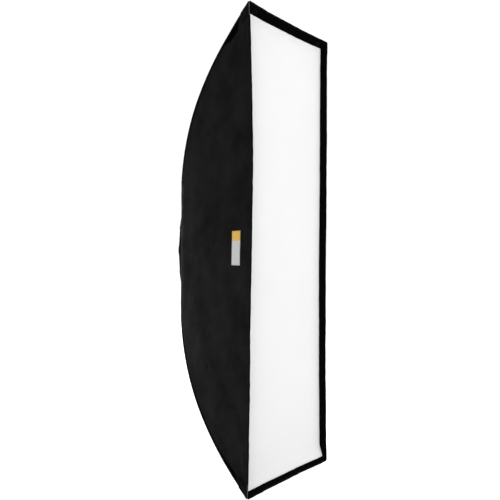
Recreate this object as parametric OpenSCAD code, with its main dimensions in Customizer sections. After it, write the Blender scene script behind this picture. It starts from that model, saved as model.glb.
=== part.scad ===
// Strip softbox on a rotating speed ring.
// +Z runs along the strip, the front opening faces -Y and the lamp joins from +Y.
// The origin is the centre of the seat face that rests against the lamp.
// Shapes inside the bank are written in depth, the distance behind the front edge.

/* [Front opening] */
// Width of the front opening
front_w = 356; // [320:1:400]
// Height of the front opening
front_h = 1422; // [1300:1:1500]
// Depth of the recessed lip in front of the diffuser
lip_depth = 25; // [20:1:30]

/* [Bow of the rods] */
// Distance from the front edge to the seat face
bank_depth = 531; // [525:1:540]
// Depth of the socket mouths behind the front edge
socket_depth = 493.4; // [488:0.1:496]
// Angle between rod and optical axis at the front corner
corner_angle = 26; // [24:0.5:28]
// Angle between rod and optical axis where its two bends meet
join_angle = 41; // [38:0.5:44]
// Angle between rod and optical axis at the socket
socket_angle = 86; // [84:0.5:87]
// Diameter of a rod
rod_d = 5.5; // [5:0.1:5.6]

/* [Rear of the bank] */
// Rod angle at which the sewn seam ends and the peel-open flap begins
seam_end_angle = 71.5; // [71.5:0.5:74]
// Depth of the flap's free edge
flap_end_depth = 506; // [505:0.5:507]
// Height of the flap's free edge above the axis
flap_end_z = 84; // [83:0.5:86]
// Depth of the side panel's rear point
side_point_depth = 513; // [512:0.1:513]
// Half width of the shell where it wraps the ring
rear_half_w = 79.5; // [79.5:0.1:81]

/* [Fabric] */
// Thickness of the black outer cloth
cloth_t = 0.8; // [0.6:0.1:0.8]
// Thickness of the silver lining
lining_t = 0.5; // [0.3:0.1:0.5]
// Thickness of the hook-and-loop tapes
tape_t = 0.8; // [0.6:0.1:0.8]
// Gap between neighbouring layers
layer_gap = 0.1; // [0.1:0.02:0.12]

/* [Inner baffle] */
// Depth of the inner baffle
baffle_depth = 235; // [200:1:280]
// Space between the baffle's hem and the shell
baffle_margin = 24; // [22:1:30]

/* [Speed ring] */
// Outer radius of the ring
ring_r = 75; // [74.5:0.1:75]
// Radius of the clear passage through the lamp adapter
lamp_bore_r = 46; // [44:0.5:47]
// Radius of the adapter flange that turns inside the ring
flange_r = 62; // [61:0.1:62]
// Running clearance between flange and ring
run_gap = 0.06; // [0.04:0.01:0.08]
// Thread pitch of the lock stud
stud_pitch = 0.8; // [0.8:0.1:1]

/* [Hidden] */
$fn = 64;

// Rod positions. The hub end is the socket's mouth, the corner end lies on the front edge plane.
hub_x = 68;
hub_z = 74;
hub_gap = 5;          // shell to rod centre, at the socket
corner_gap = 8;       // shell to rod centre, at the front corner
corner_x = front_w / 2 - corner_gap;
corner_z = front_h / 2 - corner_gap / cos(corner_angle);
splay = atan((corner_x - hub_x) / (corner_z - hub_z));
reach = norm([corner_x - hub_x, corner_z - hub_z]);

// A rod lies in one plane, and its gentle and tight bends are tangent. Ahead of straight_depth
// the shell runs straight to the front edge.
straight_depth = 60;
bend_w = reach - straight_depth * tan(corner_angle);
a11 = sin(join_angle) - sin(corner_angle);
a12 = sin(socket_angle) - sin(join_angle);
a21 = cos(corner_angle) - cos(join_angle);
a22 = cos(join_angle) - cos(socket_angle);
bend_det = a11 * a22 - a12 * a21;
gentle_r = ((socket_depth - straight_depth) * a22 - a12 * bend_w) / bend_det;
tight_r = (a11 * bend_w - a21 * (socket_depth - straight_depth)) / bend_det;
rod_r = rod_d / 2;
rod_end_depth = 34;   // where the rod ends inside its cap
tip_angle = asin(sin(corner_angle) - (straight_depth - rod_end_depth) / gentle_r);
insert_len = 40;      // rod length held in the socket

// Sampling of the bow for the fabric outlines
gentle_steps = 5;
tight_steps = 12;
front_extra = 20;     // outlines run this far ahead of the front edge before they are cut
big = 2000;

// Ring stations, as depths
flange_t = 6;
shoulder_depth = 515;
keeper_t = 3.4;
ring_rear_depth = bank_depth - 4;
barrel_front_depth = 495;
plate_front_depth = 488;
plate_t = 14;
plate_half_w = 75;
plate_half_h = 56;
ring_bore_r = 54;
rim_chamfer_len = 8;
rim_chamfer_in = 3;
keeper_seat_r = 69.2;
seat_r = 57;
spigot_r = 49;
spigot_len = 10;
lug_r = 53.5;
keeper_screw_r = 65.8;
socket_r = 5;
sleeve_r = rod_r + 0.35;
socket_len = 44;
stud_depth = shoulder_depth + flange_t / 2;
stud_r = 2.5;
shoe_len = 4;

// ---------- bow of the rods ----------

function mix(a, b, t) = a + (b - a) * t;

// Depth and reach of the rod's centre line where it makes the given angle with the axis
function gentle_point(a) = [
    straight_depth + gentle_r * (sin(a) - sin(corner_angle)),
    bend_w - gentle_r * (cos(corner_angle) - cos(a))
];
function tight_point(a) =
    gentle_point(join_angle) + tight_r * [sin(a) - sin(join_angle), cos(a) - cos(join_angle)];

// Stations [depth, reach, angle] from ahead of the front edge to the given angle
function stations(end_angle) = concat(
    [[-front_extra, reach + front_extra * tan(corner_angle), corner_angle]],
    [for (i = [0 : gentle_steps])
        let (a = mix(corner_angle, join_angle, i / gentle_steps), p = gentle_point(a))
        [p[0], p[1], a]],
    [for (i = [1 : tight_steps])
        let (a = mix(join_angle, end_angle, i / tight_steps), p = tight_point(a))
        [p[0], p[1], a]]
);

// Point of the shell's outline in one view. share is the part of the reach seen in that view.
function shell_point(s, start, share, inset) =
    let (n = [sin(s[2]) * share, cos(s[2])],
         gap = mix(hub_gap, corner_gap, s[1] / reach) - inset)
    [s[0], start + s[1] * share] + gap * n / norm(n);

function side_half(inset) = concat(
    [for (s = stations(seam_end_angle)) shell_point(s, hub_z, cos(splay), inset)],
    [[flap_end_depth - inset, flap_end_z - inset * sin(90 - seam_end_angle)],
     [side_point_depth - inset, 0]]
);
function plan_half(inset) =
    [for (s = stations(socket_angle)) shell_point(s, hub_x, sin(splay), inset)];

seam_end = shell_point(
    [tight_point(seam_end_angle)[0], tight_point(seam_end_angle)[1], seam_end_angle],
    hub_z, cos(splay), 0);
flap_tilt = atan((flap_end_depth - seam_end[0]) / (seam_end[1] - flap_end_z));

// ---------- envelopes of the shell ----------

// Outline in depth and height, drawn with depth along x
module side_outline(inset) {
    half = side_half(inset);
    last = len(half) - 1;
    polygon(concat(half, [for (i = [last - 1 : -1 : 0]) [half[i][0], -half[i][1]]]));
}

// Outline in width and depth, drawn with depth along y
module plan_outline(inset) {
    half = plan_half(inset);
    last = len(half) - 1;
    rear = rear_half_w - inset;
    polygon(concat(
        [for (p = half) if (p[1] > rear) [p[1], p[0]]],
        [[rear, plan_crossing(half, rear)], [rear, side_point_depth - max(inset, 0)],
         [-rear, side_point_depth - max(inset, 0)], [-rear, plan_crossing(half, rear)]],
        [for (i = [last : -1 : 0]) if (half[i][1] > rear) [-half[i][1], half[i][0]]]
    ));
}

// Depth at which the plan curve comes in to the rear half width
function plan_crossing(half, rear) =
    let (k = max([for (i = [0 : len(half) - 1]) if (half[i][1] > rear) i]),
         a = half[k], b = half[min(k + 1, len(half) - 1)])
    k == len(half) - 1 ? a[0] + 1 : mix(a[0], b[0], (a[1] - rear) / (a[1] - b[1]));

module side_prism(inset) {
    rotate([90, 0, 90])
        translate([0, 0, -big / 2])
            linear_extrude(big) side_outline(inset);
}

module plan_prism(inset) {
    translate([0, 0, -big / 2])
        linear_extrude(big) plan_outline(inset);
}

module envelope(inset) {
    intersection() {
        side_prism(inset);
        plan_prism(inset);
    }
}

// Everything between two depths
module slab(depth_a, depth_b) {
    translate([-big / 2, depth_a, -big / 2])
        cube([big, depth_b - depth_a, big]);
}

// Frame that follows the shell between two insets and two depths
module shell_frame(inset_a, inset_b, depth_a, depth_b) {
    intersection() {
        difference() {
            envelope(inset_a);
            envelope(inset_b);
        }
        slab(depth_a, depth_b);
    }
}

// Box centred on x, from one height up to another
module upright(half_w, z_a, z_b) {
    translate([-half_w, -big / 2, z_a])
        cube([2 * half_w, big, z_b - z_a]);
}

// ---------- placing helpers ----------

// Moves from depth coordinates to the part's frame
module place() {
    translate([0, -bank_depth, 0]) children();
}

// side is -1 for left and 1 for right, level is 1 for upper and -1 for lower
module corner(side, level) {
    mirror([side < 0 ? 1 : 0, 0, 0])
        mirror([0, 0, level < 0 ? 1 : 0])
            children();
}

module four_corners() {
    for (side = [-1, 1], level = [-1, 1]) corner(side, level) children();
}

// Local x is the rod's reach and local y is depth
module rod_plane() {
    translate([hub_x, 0, hub_z])
        rotate([0, splay - 90, 0])
            children();
}

// Straight piece of round bar in the rod plane, from a point and along a direction angle
module bar(start, angle, length, r) {
    translate([start[1], start[0], 0])
        rotate([0, 0, angle])
            rotate([-90, 0, 0])
                cylinder(h = length, r = r);
}

// Bend of round bar in the rod plane, between two direction angles
module bend(centre, radius, angle_a, angle_b, r) {
    translate([centre[1], centre[0], 0])
        rotate([0, 0, angle_a])
            rotate_extrude(angle = angle_b - angle_a)
                translate([radius, 0]) circle(r);
}

// ---------- speed ring ----------

module adapter_insert() {
    color("silver")
        place() {
            difference() {
                union() {
                    depth_cylinder(shoulder_depth + 0.05, shoulder_depth + flange_t - 0.05, flange_r);
                    depth_cylinder(shoulder_depth + flange_t - 0.1, bank_depth, seat_r);
                    depth_cylinder(bank_depth - 1, bank_depth + spigot_len, spigot_r);
                    for (a = [90, 210, 330]) bayonet_lug(a);
                }
                depth_cylinder(shoulder_depth - 1, bank_depth + spigot_len + 1, lamp_bore_r);
            }
        }
}

// Round bar along the optical axis between two depths
module depth_cylinder(depth_a, depth_b, r) {
    translate([0, depth_a, 0])
        rotate([-90, 0, 0])
            cylinder(h = depth_b - depth_a, r = r, $fn = 128);
}

module bayonet_lug(angle) {
    lug_w = 22;
    lug_t = 2.5;
    intersection() {
        depth_cylinder(bank_depth + spigot_len - lug_t, bank_depth + spigot_len, lug_r);
        rotate([0, angle, 0])
            translate([spigot_r - 2, 0, -lug_w / 2])
                cube([lug_r, big, lug_w]);
    }
}

module ring_body() {
    color("dimgray")
        place()
            difference() {
                union() {
                    depth_cylinder(barrel_front_depth, ring_rear_depth - rim_chamfer_len, ring_r);
                    rim_chamfer();
                    socket_plate();
                    stud_boss();
                }
                depth_cylinder(plate_front_depth - 1, shoulder_depth + 1, ring_bore_r);
                depth_cylinder(shoulder_depth, ring_rear_depth, flange_r + run_gap);
                depth_cylinder(shoulder_depth + flange_t, ring_rear_depth + 1, keeper_seat_r);
                four_corners() socket_hole();
                keeper_screw_places() cylinder(h = 14, r = 1.55);
                stud_bar(flange_r - 1, ring_r + 8, stud_r + 0.05);
            }
}

module rim_chamfer() {
    translate([0, ring_rear_depth - rim_chamfer_len, 0])
        rotate([-90, 0, 0])
            cylinder(h = rim_chamfer_len, r1 = ring_r, r2 = ring_r - rim_chamfer_in, $fn = 128);
}

module socket_plate() {
    corner_r = 12;
    for (x = [-1, 1], z = [-1, 1])
        translate([x * (plate_half_w - corner_r), plate_front_depth, z * (plate_half_h - corner_r)])
            rotate([-90, 0, 0]) cylinder(h = plate_t, r = corner_r);
    translate([-plate_half_w, plate_front_depth, corner_r - plate_half_h])
        cube([2 * plate_half_w, plate_t, 2 * (plate_half_h - corner_r)]);
    translate([corner_r - plate_half_w, plate_front_depth, -plate_half_h])
        cube([2 * (plate_half_w - corner_r), plate_t, 2 * plate_half_h]);
}

module socket_hole() {
    rod_plane() bar([socket_depth, 0], socket_angle, socket_len + 0.2, socket_r + 0.05);
}

// Bar on the lock stud's axis, between two distances from the optical axis
module stud_bar(from, to, r) {
    translate([from, stud_depth, 0])
        rotate([0, 90, 0]) cylinder(h = to - from, r = r);
}

module stud_boss() {
    stud_bar(ring_r - 3, ring_r + 6, 4.8);
}

// Screw places on the keeper ring's rear face, with +Z of each pointing forward into the ring
module keeper_screw_places() {
    for (a = [45, 135, 225, 315])
        rotate([0, a, 0])
            translate([keeper_screw_r, shoulder_depth + flange_t + keeper_t + 0.1, 0])
                rotate([90, 0, 0]) children();
}

module keeper_ring() {
    color("gray")
        place()
            difference() {
                depth_cylinder(shoulder_depth + flange_t + 0.1, shoulder_depth + flange_t + keeper_t + 0.1,
                               keeper_seat_r - 0.1);
                depth_cylinder(shoulder_depth, bank_depth, seat_r + 0.6);
                keeper_screw_places() cylinder(h = 14, r = 1.65);
            }
}

module keeper_screws() {
    head_r = 2.8;
    head_h = 1.6;
    color("silver")
        place()
            keeper_screw_places()
                difference() {
                    union() {
                        translate([0, 0, -head_h - 0.05]) cylinder(h = head_h, r = head_r);
                        translate([0, 0, -0.1]) cylinder(h = 11, r = 1.5);
                    }
                    translate([0, 0, -head_h - 1]) cylinder(h = 1.9, r = 1.2, $fn = 6);
                }
}

module rod_socket() {
    color("silver")
        place()
            rod_plane()
                difference() {
                    bar([socket_depth, 0], socket_angle, socket_len, socket_r);
                    translate([0, socket_depth, 0])
                        rotate([0, 0, socket_angle])
                            rotate([-90, 0, 0])
                                translate([0, 0, -1]) cylinder(h = insert_len + 2, r = sleeve_r + 0.1);
                }
}

// ---------- lock ----------

module brake_shoe() {
    color("white")
        place() stud_bar(flange_r + 0.1, flange_r + 0.1 + shoe_len, stud_r - 0.1);
}

module lock_stud() {
    color("silver")
        place() stud_bar(flange_r + 0.15 + shoe_len, ring_r + 18, stud_r);
}

module lock_knob() {
    knob_r = 13;
    knob_from = ring_r + 8.5;
    knob_len = 14;
    lobes = 6;
    color("black")
        place()
            difference() {
                union() {
                    stud_bar(ring_r + 7, knob_from + 1, 7);
                    stud_bar(knob_from, knob_from + knob_len, knob_r);
                }
                stud_bar(ring_r, ring_r + 18.1, stud_r + 0.05);
                for (i = [0 : lobes - 1])
                    translate([knob_from + 1, stud_depth, 0])
                        rotate([i * 360 / lobes, 0, 0])
                            translate([0, 0, knob_r + 2.5])
                                rotate([0, 90, 0]) cylinder(h = knob_len, r = 5);
            }
}

// ---------- rods ----------

module rod() {
    join_gap = 0.01;      // degrees, hidden inside the ferrule
    ferrule_len = 14;
    ferrule_turn = ferrule_len / 2 / gentle_r * 180 / PI;
    sleeve_out = 1.6;
    sleeve_angle = socket_angle - sleeve_out / tight_r * 180 / PI;
    gentle_centre = gentle_point(corner_angle) - gentle_r * [sin(corner_angle), cos(corner_angle)];
    tight_centre = gentle_point(join_angle) - tight_r * [sin(join_angle), cos(join_angle)];
    color("darkgray")
        place()
            rod_plane() {
                bend(gentle_centre, gentle_r, tip_angle, join_angle - join_gap, rod_r);
                bar(gentle_point(join_angle - ferrule_turn), join_angle, ferrule_len, rod_r + 0.5);
                bend(tight_centre, tight_r, join_angle + join_gap, socket_angle, rod_r);
                bar(tight_point(sleeve_angle), socket_angle, insert_len + sleeve_out, sleeve_r);
            }
}

module rod_collar() {
    collar_len = 12;
    from_mouth = 2.2;
    collar_angle = socket_angle - (from_mouth + collar_len) / tight_r * 180 / PI;
    color("firebrick")
        place()
            rod_plane()
                difference() {
                    bar(tight_point(collar_angle), socket_angle, collar_len, rod_r + 1.6);
                    bend(tight_point(socket_angle) - tight_r * [sin(socket_angle), cos(socket_angle)],
                         tight_r, socket_angle - 4, socket_angle + 1, rod_r + 0.1);
                }
}

// Round cup over the rod's tip, open toward the socket, starting the given distance ahead of the tip
module tip_cup(ahead, length, outer_r, inner_r, floor_t) {
    cup_angle = tip_angle + 0.4;
    tip = gentle_point(tip_angle);
    translate([tip[1], tip[0], 0])
        rotate([0, 0, cup_angle])
            rotate([-90, 0, 0])
                translate([0, 0, -ahead])
                    difference() {
                        cylinder(h = length, r = outer_r);
                        translate([0, 0, floor_t]) cylinder(h = length, r = inner_r);
                    }
}

module rod_tip_cap() {
    color("black")
        place() rod_plane() tip_cup(2.6, 13, rod_r + 1.4, rod_r + 0.06, 2.5);
}

module corner_pocket() {
    color("black")
        place() rod_plane() tip_cup(4.2, 30, rod_r + 2.7, rod_r + 1.6, 1.2);
}

// ---------- sewn shell ----------

lining_in = cloth_t + layer_gap + lining_t;
hem_depth = 5;

// Right side panel
module side_panel() {
    color([0.1, 0.1, 0.1])
        place()
            intersection() {
                difference() {
                    plan_prism(0);
                    plan_prism(cloth_t);
                }
                side_prism(cloth_t + layer_gap);
                slab(hem_depth, side_point_depth - 1);
                translate([0, -big / 2, -big / 2]) cube(big);
            }
}

// Top end panel
module end_panel() {
    color([0.1, 0.1, 0.1])
        place()
            intersection() {
                difference() {
                    side_prism(0);
                    side_prism(cloth_t);
                }
                plan_prism(0);
                slab(hem_depth, flap_end_depth);
                upright(big / 2, seam_end[1] + 1, big / 2);
            }
}

module side_lining() {
    color("silver")
        place()
            intersection() {
                difference() {
                    plan_prism(cloth_t + layer_gap);
                    plan_prism(lining_in);
                }
                side_prism(lining_in + layer_gap);
                slab(lip_depth + 2, side_point_depth - 3);
                translate([0, -big / 2, -big / 2]) cube(big);
            }
}

module end_lining() {
    color("silver")
        place()
            intersection() {
                difference() {
                    side_prism(cloth_t + layer_gap);
                    side_prism(lining_in);
                }
                plan_prism(cloth_t + layer_gap);
                slab(lip_depth + 2, flap_end_depth);
                upright(big / 2, seam_end[1] + 2, big / 2);
            }
}

module front_hem() {
    color("black")
        place() shell_frame(-0.9, cloth_t + 1, 0, hem_depth - layer_gap);
}

module lip_loop_tape() {
    color("black")
        place()
            shell_frame(cloth_t + layer_gap, cloth_t + layer_gap + tape_t,
                        hem_depth + 0.2, lip_depth + 0.5);
}

// Folded binding over the upper right seam
module seam_binding() {
    binding_w = 7;
    binding_t = 1.2;
    color("black")
        place()
            intersection() {
                difference() {
                    envelope(-layer_gap - binding_t);
                    envelope(-layer_gap);
                    side_prism(binding_w);
                    plan_prism(binding_w);
                }
                slab(hem_depth + 0.2, flap_end_depth);
                translate([0, -big / 2, seam_end[1] + 6]) cube(big);
            }
}

// Patch wrapped round the upper right front corner, over the binding
module corner_patch() {
    patch_w = 26;
    patch_len = 42;
    patch_t = 0.8;
    lift = 1.5;
    color([0.07, 0.07, 0.07])
        place()
            intersection() {
                difference() {
                    envelope(-lift - patch_t);
                    envelope(-lift);
                    side_prism(patch_w);
                    plan_prism(patch_w);
                }
                slab(hem_depth + 0.2, patch_len);
                translate([0, -big / 2, 0]) cube(big);
            }
}

// ---------- rear of the shell ----------

module rear_collar() {
    tube_r = ring_r + 1.3;
    web_depth = flap_end_depth - 2;
    color("black")
        place() {
            difference() {
                union() {
                    depth_cylinder(web_depth - 2, side_point_depth - 0.2, tube_r + 1.1);
                    translate([-rear_half_w + lining_in + 0.4, web_depth, -flap_end_z + 1])
                        cube([2 * (rear_half_w - lining_in - 0.4), 1, 2 * (flap_end_z - 1)]);
                }
                depth_cylinder(0, bank_depth, tube_r);
            }
        }
}

module collar_elastic() {
    color([0.2, 0.2, 0.2])
        place()
            difference() {
                depth_cylinder(flap_end_depth, flap_end_depth + 6, ring_r + 1.2);
                depth_cylinder(0, bank_depth, ring_r + 0.2);
            }
}

// Flat band that follows the flap's plane between two insets and two heights
module flap_band(inset_a, inset_b, z_a, z_b) {
    intersection() {
        difference() {
            side_prism(inset_a);
            side_prism(inset_b);
        }
        upright(big / 2, z_a, z_b);
    }
}

flap_top_z = seam_end[1] - 1.5;
flap_low_z = flap_end_z - 4;
tape_low_z = flap_end_z + 4;

module closure_loop_tape() {
    tape_w = 20;
    color("black")
        place()
            for (level = [0, 1])
                mirror([0, 0, level])
                    intersection() {
                        flap_band(0.05, cloth_t, tape_low_z, flap_top_z - 2);
                        difference() {
                            plan_prism(1.5);
                            plan_prism(1.5 + tape_w);
                        }
                    }
}

module rear_flap() {
    color([0.1, 0.1, 0.1])
        place()
            intersection() {
                flap_band(-1.8, -0.9, flap_low_z, flap_top_z);
                plan_prism(0.5);
            }
}

module flap_hook_tape() {
    tape_w = 20;
    color("black")
        place()
            intersection() {
                flap_band(-0.8, -0.1, tape_low_z + 1, flap_top_z - 3);
                difference() {
                    plan_prism(1.5);
                    plan_prism(1.5 + tape_w);
                }
            }
}

module flap_pull_tab() {
    tab_w = 25;
    tab_h = 34;
    color("black")
        place()
            intersection() {
                flap_band(-2.9, -1.9, flap_low_z - 2, flap_low_z - 2 + tab_h);
                upright(tab_w / 2, 0, big);
            }
}

// ---------- front diffuser ----------

border_out = cloth_t + tape_t + layer_gap + 0.2;
border_in = border_out + tape_t;

module diffuser_border() {
    color("black")
        place() shell_frame(border_out, border_in, hem_depth + 0.5, lip_depth + 0.8);
}

module diffuser_sheet() {
    color("white")
        place()
            intersection() {
                envelope(border_in + 0.05);
                slab(lip_depth, lip_depth + 0.8);
            }
}

module diffuser_pull_tabs() {
    tab_w = 20;
    tab_len = 16;
    tab_x = front_w / 2 - 34;
    color("black")
        place()
            for (side = [-1, 1])
                intersection() {
                    shell_frame(border_in + 0.1, border_in + 1.0,
                                lip_depth - 0.3 - tab_len, lip_depth - 0.3);
                    translate([side * tab_x - tab_w / 2, -big / 2, 0]) cube([tab_w, big, big]);
                }
}

// ---------- inner baffle ----------

module baffle_sheet() {
    color("white")
        place()
            intersection() {
                envelope(baffle_margin + 12.1);
                slab(baffle_depth, baffle_depth + 0.6);
            }
}

module baffle_hem() {
    color("white")
        place() shell_frame(baffle_margin, baffle_margin + 12, baffle_depth - 0.5, baffle_depth + 1.1);
}

// Strap places round the baffle: three on each long side and one at each end
module strap_places(strap_w) {
    spacing = front_h * 0.27;
    for (k = [-1, 0, 1])
        translate([-big / 2, 0, k * spacing - strap_w / 2]) cube([big, big, strap_w]);
    translate([-strap_w / 2, 0, -big / 2]) cube([strap_w, big, big]);
}

module baffle_straps() {
    color("white")
        place()
            intersection() {
                shell_frame(lining_in + 2, baffle_margin - 0.1, baffle_depth - 0.3, baffle_depth + 0.9);
                strap_places(20);
            }
}

module baffle_tabs() {
    color("black")
        place()
            intersection() {
                shell_frame(lining_in + layer_gap, baffle_margin * 0.6,
                            baffle_depth + 1.1, baffle_depth + 2.3);
                strap_places(22);
            }
}

// ---------- label ----------

module blank_label() {
    label_len = 104;
    label_w = 44;
    label_depth = 80;
    label_z = 3;
    color("gray")
        place()
            intersection() {
                difference() {
                    plan_prism(-0.6);
                    plan_prism(-0.1);
                }
                translate([-big, label_depth - label_w / 2, label_z - label_len / 2])
                    cube([big, label_w, label_len]);
            }
}

// ---------- nodes ----------

adapter_insert();
ring_body();
keeper_ring();
keeper_screws();
corner(-1, 1) rod_socket();  // rod_socket_upper_left
corner(1, 1) rod_socket();  // rod_socket_upper_right
corner(-1, -1) rod_socket();  // rod_socket_lower_left
corner(1, -1) rod_socket();  // rod_socket_lower_right
corner(-1, 1) rod();  // rod_upper_left
corner(1, 1) rod();  // rod_upper_right
corner(-1, -1) rod();  // rod_lower_left
corner(1, -1) rod();  // rod_lower_right
four_corners() rod_collar();  // rod_collars
four_corners() rod_tip_cap();  // rod_tip_caps
corner(-1, 1) corner_pocket();  // corner_pocket_upper_left
corner(1, 1) corner_pocket();  // corner_pocket_upper_right
corner(-1, -1) corner_pocket();  // corner_pocket_lower_left
corner(1, -1) corner_pocket();  // corner_pocket_lower_right
corner(-1, 1) side_panel();  // side_panel_left
side_panel();  // side_panel_right
end_panel();  // end_panel_top
corner(1, -1) end_panel();  // end_panel_bottom
corner(-1, 1) side_lining();  // lining_left
side_lining();  // lining_right
end_lining();  // lining_top
corner(1, -1) end_lining();  // lining_bottom
front_hem();
lip_loop_tape();
corner(-1, 1) seam_binding();  // seam_binding_upper_left
seam_binding();  // seam_binding_upper_right
corner(-1, -1) seam_binding();  // seam_binding_lower_left
corner(1, -1) seam_binding();  // seam_binding_lower_right
corner(-1, 1) corner_patch();  // corner_patch_upper_left
corner_patch();  // corner_patch_upper_right
corner(-1, -1) corner_patch();  // corner_patch_lower_left
corner(1, -1) corner_patch();  // corner_patch_lower_right
rear_collar();
collar_elastic();
closure_loop_tape();
baffle_tabs();
blank_label();
rear_flap();  // rear_flap_top
flap_hook_tape();  // flap_hook_tape_top
flap_pull_tab();  // flap_pull_tab_top
corner(1, -1) rear_flap();  // rear_flap_bottom
corner(1, -1) flap_hook_tape();  // flap_hook_tape_bottom
corner(1, -1) flap_pull_tab();  // flap_pull_tab_bottom
diffuser_sheet();
diffuser_border();
diffuser_pull_tabs();
baffle_sheet();
baffle_hem();
baffle_straps();
brake_shoe();
lock_stud();
lock_knob();
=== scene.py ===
"""Looks for the strip softbox: stretched cloth, tapes, stitching and materials round the CAD frame."""

import math

import bmesh
import bpy
import numpy as np
from mathutils import Matrix, Vector, noise


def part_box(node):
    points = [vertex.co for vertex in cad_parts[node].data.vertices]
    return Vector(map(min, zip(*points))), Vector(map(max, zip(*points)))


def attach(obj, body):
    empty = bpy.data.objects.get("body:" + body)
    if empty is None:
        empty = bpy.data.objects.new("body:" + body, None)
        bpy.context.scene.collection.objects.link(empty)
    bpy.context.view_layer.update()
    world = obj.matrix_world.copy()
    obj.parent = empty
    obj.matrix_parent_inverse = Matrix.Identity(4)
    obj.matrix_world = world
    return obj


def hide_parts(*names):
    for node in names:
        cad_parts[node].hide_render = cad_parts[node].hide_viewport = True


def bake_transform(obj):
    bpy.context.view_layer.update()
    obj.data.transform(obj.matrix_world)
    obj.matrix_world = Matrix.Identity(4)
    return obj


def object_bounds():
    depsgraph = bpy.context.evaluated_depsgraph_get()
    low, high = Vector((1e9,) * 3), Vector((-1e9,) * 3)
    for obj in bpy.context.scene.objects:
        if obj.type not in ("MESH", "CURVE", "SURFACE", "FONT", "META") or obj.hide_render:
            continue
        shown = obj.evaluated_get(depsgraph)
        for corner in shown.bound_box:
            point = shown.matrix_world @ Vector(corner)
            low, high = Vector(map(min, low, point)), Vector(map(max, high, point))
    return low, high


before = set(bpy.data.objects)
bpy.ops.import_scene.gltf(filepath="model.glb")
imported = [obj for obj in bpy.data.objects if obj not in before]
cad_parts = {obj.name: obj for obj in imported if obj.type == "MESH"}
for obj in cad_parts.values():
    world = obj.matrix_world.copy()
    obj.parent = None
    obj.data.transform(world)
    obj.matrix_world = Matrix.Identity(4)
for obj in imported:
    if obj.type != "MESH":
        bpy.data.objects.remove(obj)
cad_low, cad_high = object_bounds()

MM = 0.001
SIDES = (("left", -1), ("right", 1))
ENDS = (("top", 1), ("bottom", -1))
CORNERS = [(f"{level_word}_{side_word}", side, level)
           for level_word, level in (("upper", 1), ("lower", -1)) for side_word, side in SIDES]

# ---------- the CAD's driving sizes ----------

BANK_DEPTH = -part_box("front_hem")[0].y
HALF_W = 178 * MM
HALF_H = 711 * MM
HUB_X = 68 * MM
HUB_Z = 74 * MM
HUB_GAP = 5 * MM
CORNER_GAP = 8 * MM
SOCKET_DEPTH = 493.4 * MM
STRAIGHT_DEPTH = 60 * MM
ROD_END_DEPTH = 34 * MM
ROD_R = 2.75 * MM
CORNER_ANGLE = math.radians(26)
JOIN_ANGLE = math.radians(41)
SOCKET_ANGLE = math.radians(86)
SEAM_END_ANGLE = math.radians(71.5)
FLAP_END_DEPTH = 506 * MM
FLAP_END_Z = 84 * MM
POINT_DEPTH = 513 * MM
REAR_HALF_W = 79.5 * MM
RING_R = 75 * MM
LIP_DEPTH = 25 * MM
BAFFLE_DEPTH = 235 * MM
BAFFLE_MARGIN = 24 * MM
STRAP_SPACING = 0.27 * 2 * HALF_H
STRAP_SHIFTS = [k * STRAP_SPACING for k in (-1, 0, 1)]

# Thickness of the layers
CLOTH = 0.8 * MM
LINING = 0.5 * MM
TAPE = 0.8 * MM
HEM = 0.9 * MM
GAP = 0.1 * MM
LINING_OUT = CLOTH + GAP
LINING_IN = LINING_OUT + LINING
BORDER_OUT = LINING_OUT + TAPE + 0.2 * MM
BORDER_IN = BORDER_OUT + TAPE
HEM_DEPTH = 5 * MM
HEM_CORNER_R = 4 * MM

# ---------- the bow of the rods ----------

corner_x = HALF_W - CORNER_GAP
corner_z = HALF_H - CORNER_GAP / math.cos(CORNER_ANGLE)
splay = math.atan2(corner_x - HUB_X, corner_z - HUB_Z)
reach = math.hypot(corner_x - HUB_X, corner_z - HUB_Z)
bend_reach = reach - STRAIGHT_DEPTH * math.tan(CORNER_ANGLE)
bend_matrix = np.array([
    [math.sin(JOIN_ANGLE) - math.sin(CORNER_ANGLE), math.sin(SOCKET_ANGLE) - math.sin(JOIN_ANGLE)],
    [math.cos(CORNER_ANGLE) - math.cos(JOIN_ANGLE), math.cos(JOIN_ANGLE) - math.cos(SOCKET_ANGLE)],
])
gentle_r, tight_r = np.linalg.solve(bend_matrix, [SOCKET_DEPTH - STRAIGHT_DEPTH, bend_reach])


def rod_line(angle):
    """Depth and reach of the rod's centre line where it makes this angle with the optical axis."""
    gentle = np.minimum(angle, JOIN_ANGLE)
    tight = np.maximum(angle, JOIN_ANGLE)
    depth = STRAIGHT_DEPTH + gentle_r * (np.sin(gentle) - math.sin(CORNER_ANGLE))
    depth = depth + tight_r * (np.sin(tight) - math.sin(JOIN_ANGLE))
    across = bend_reach - gentle_r * (math.cos(CORNER_ANGLE) - np.cos(gentle))
    across = across - tight_r * (math.cos(JOIN_ANGLE) - np.cos(tight))
    return depth, across


def shell_line(start, share, inset, end_angle):
    """Outline of the shell in one view, from ahead of the front edge to where the rod has this angle."""
    ahead = 20 * MM
    angle = np.linspace(CORNER_ANGLE, end_angle, 180)
    depth, across = rod_line(angle)
    angle = np.concatenate([[CORNER_ANGLE], angle])
    across = np.concatenate([[reach + ahead * math.tan(CORNER_ANGLE)], across])
    depth = np.concatenate([[-ahead], depth])
    outward = np.stack([np.sin(angle) * share, np.cos(angle)])
    gap = HUB_GAP + (CORNER_GAP - HUB_GAP) * across / reach - inset
    step = gap * outward / np.linalg.norm(outward, axis=0)
    return depth + step[0], start + across * share + step[1]


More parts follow.
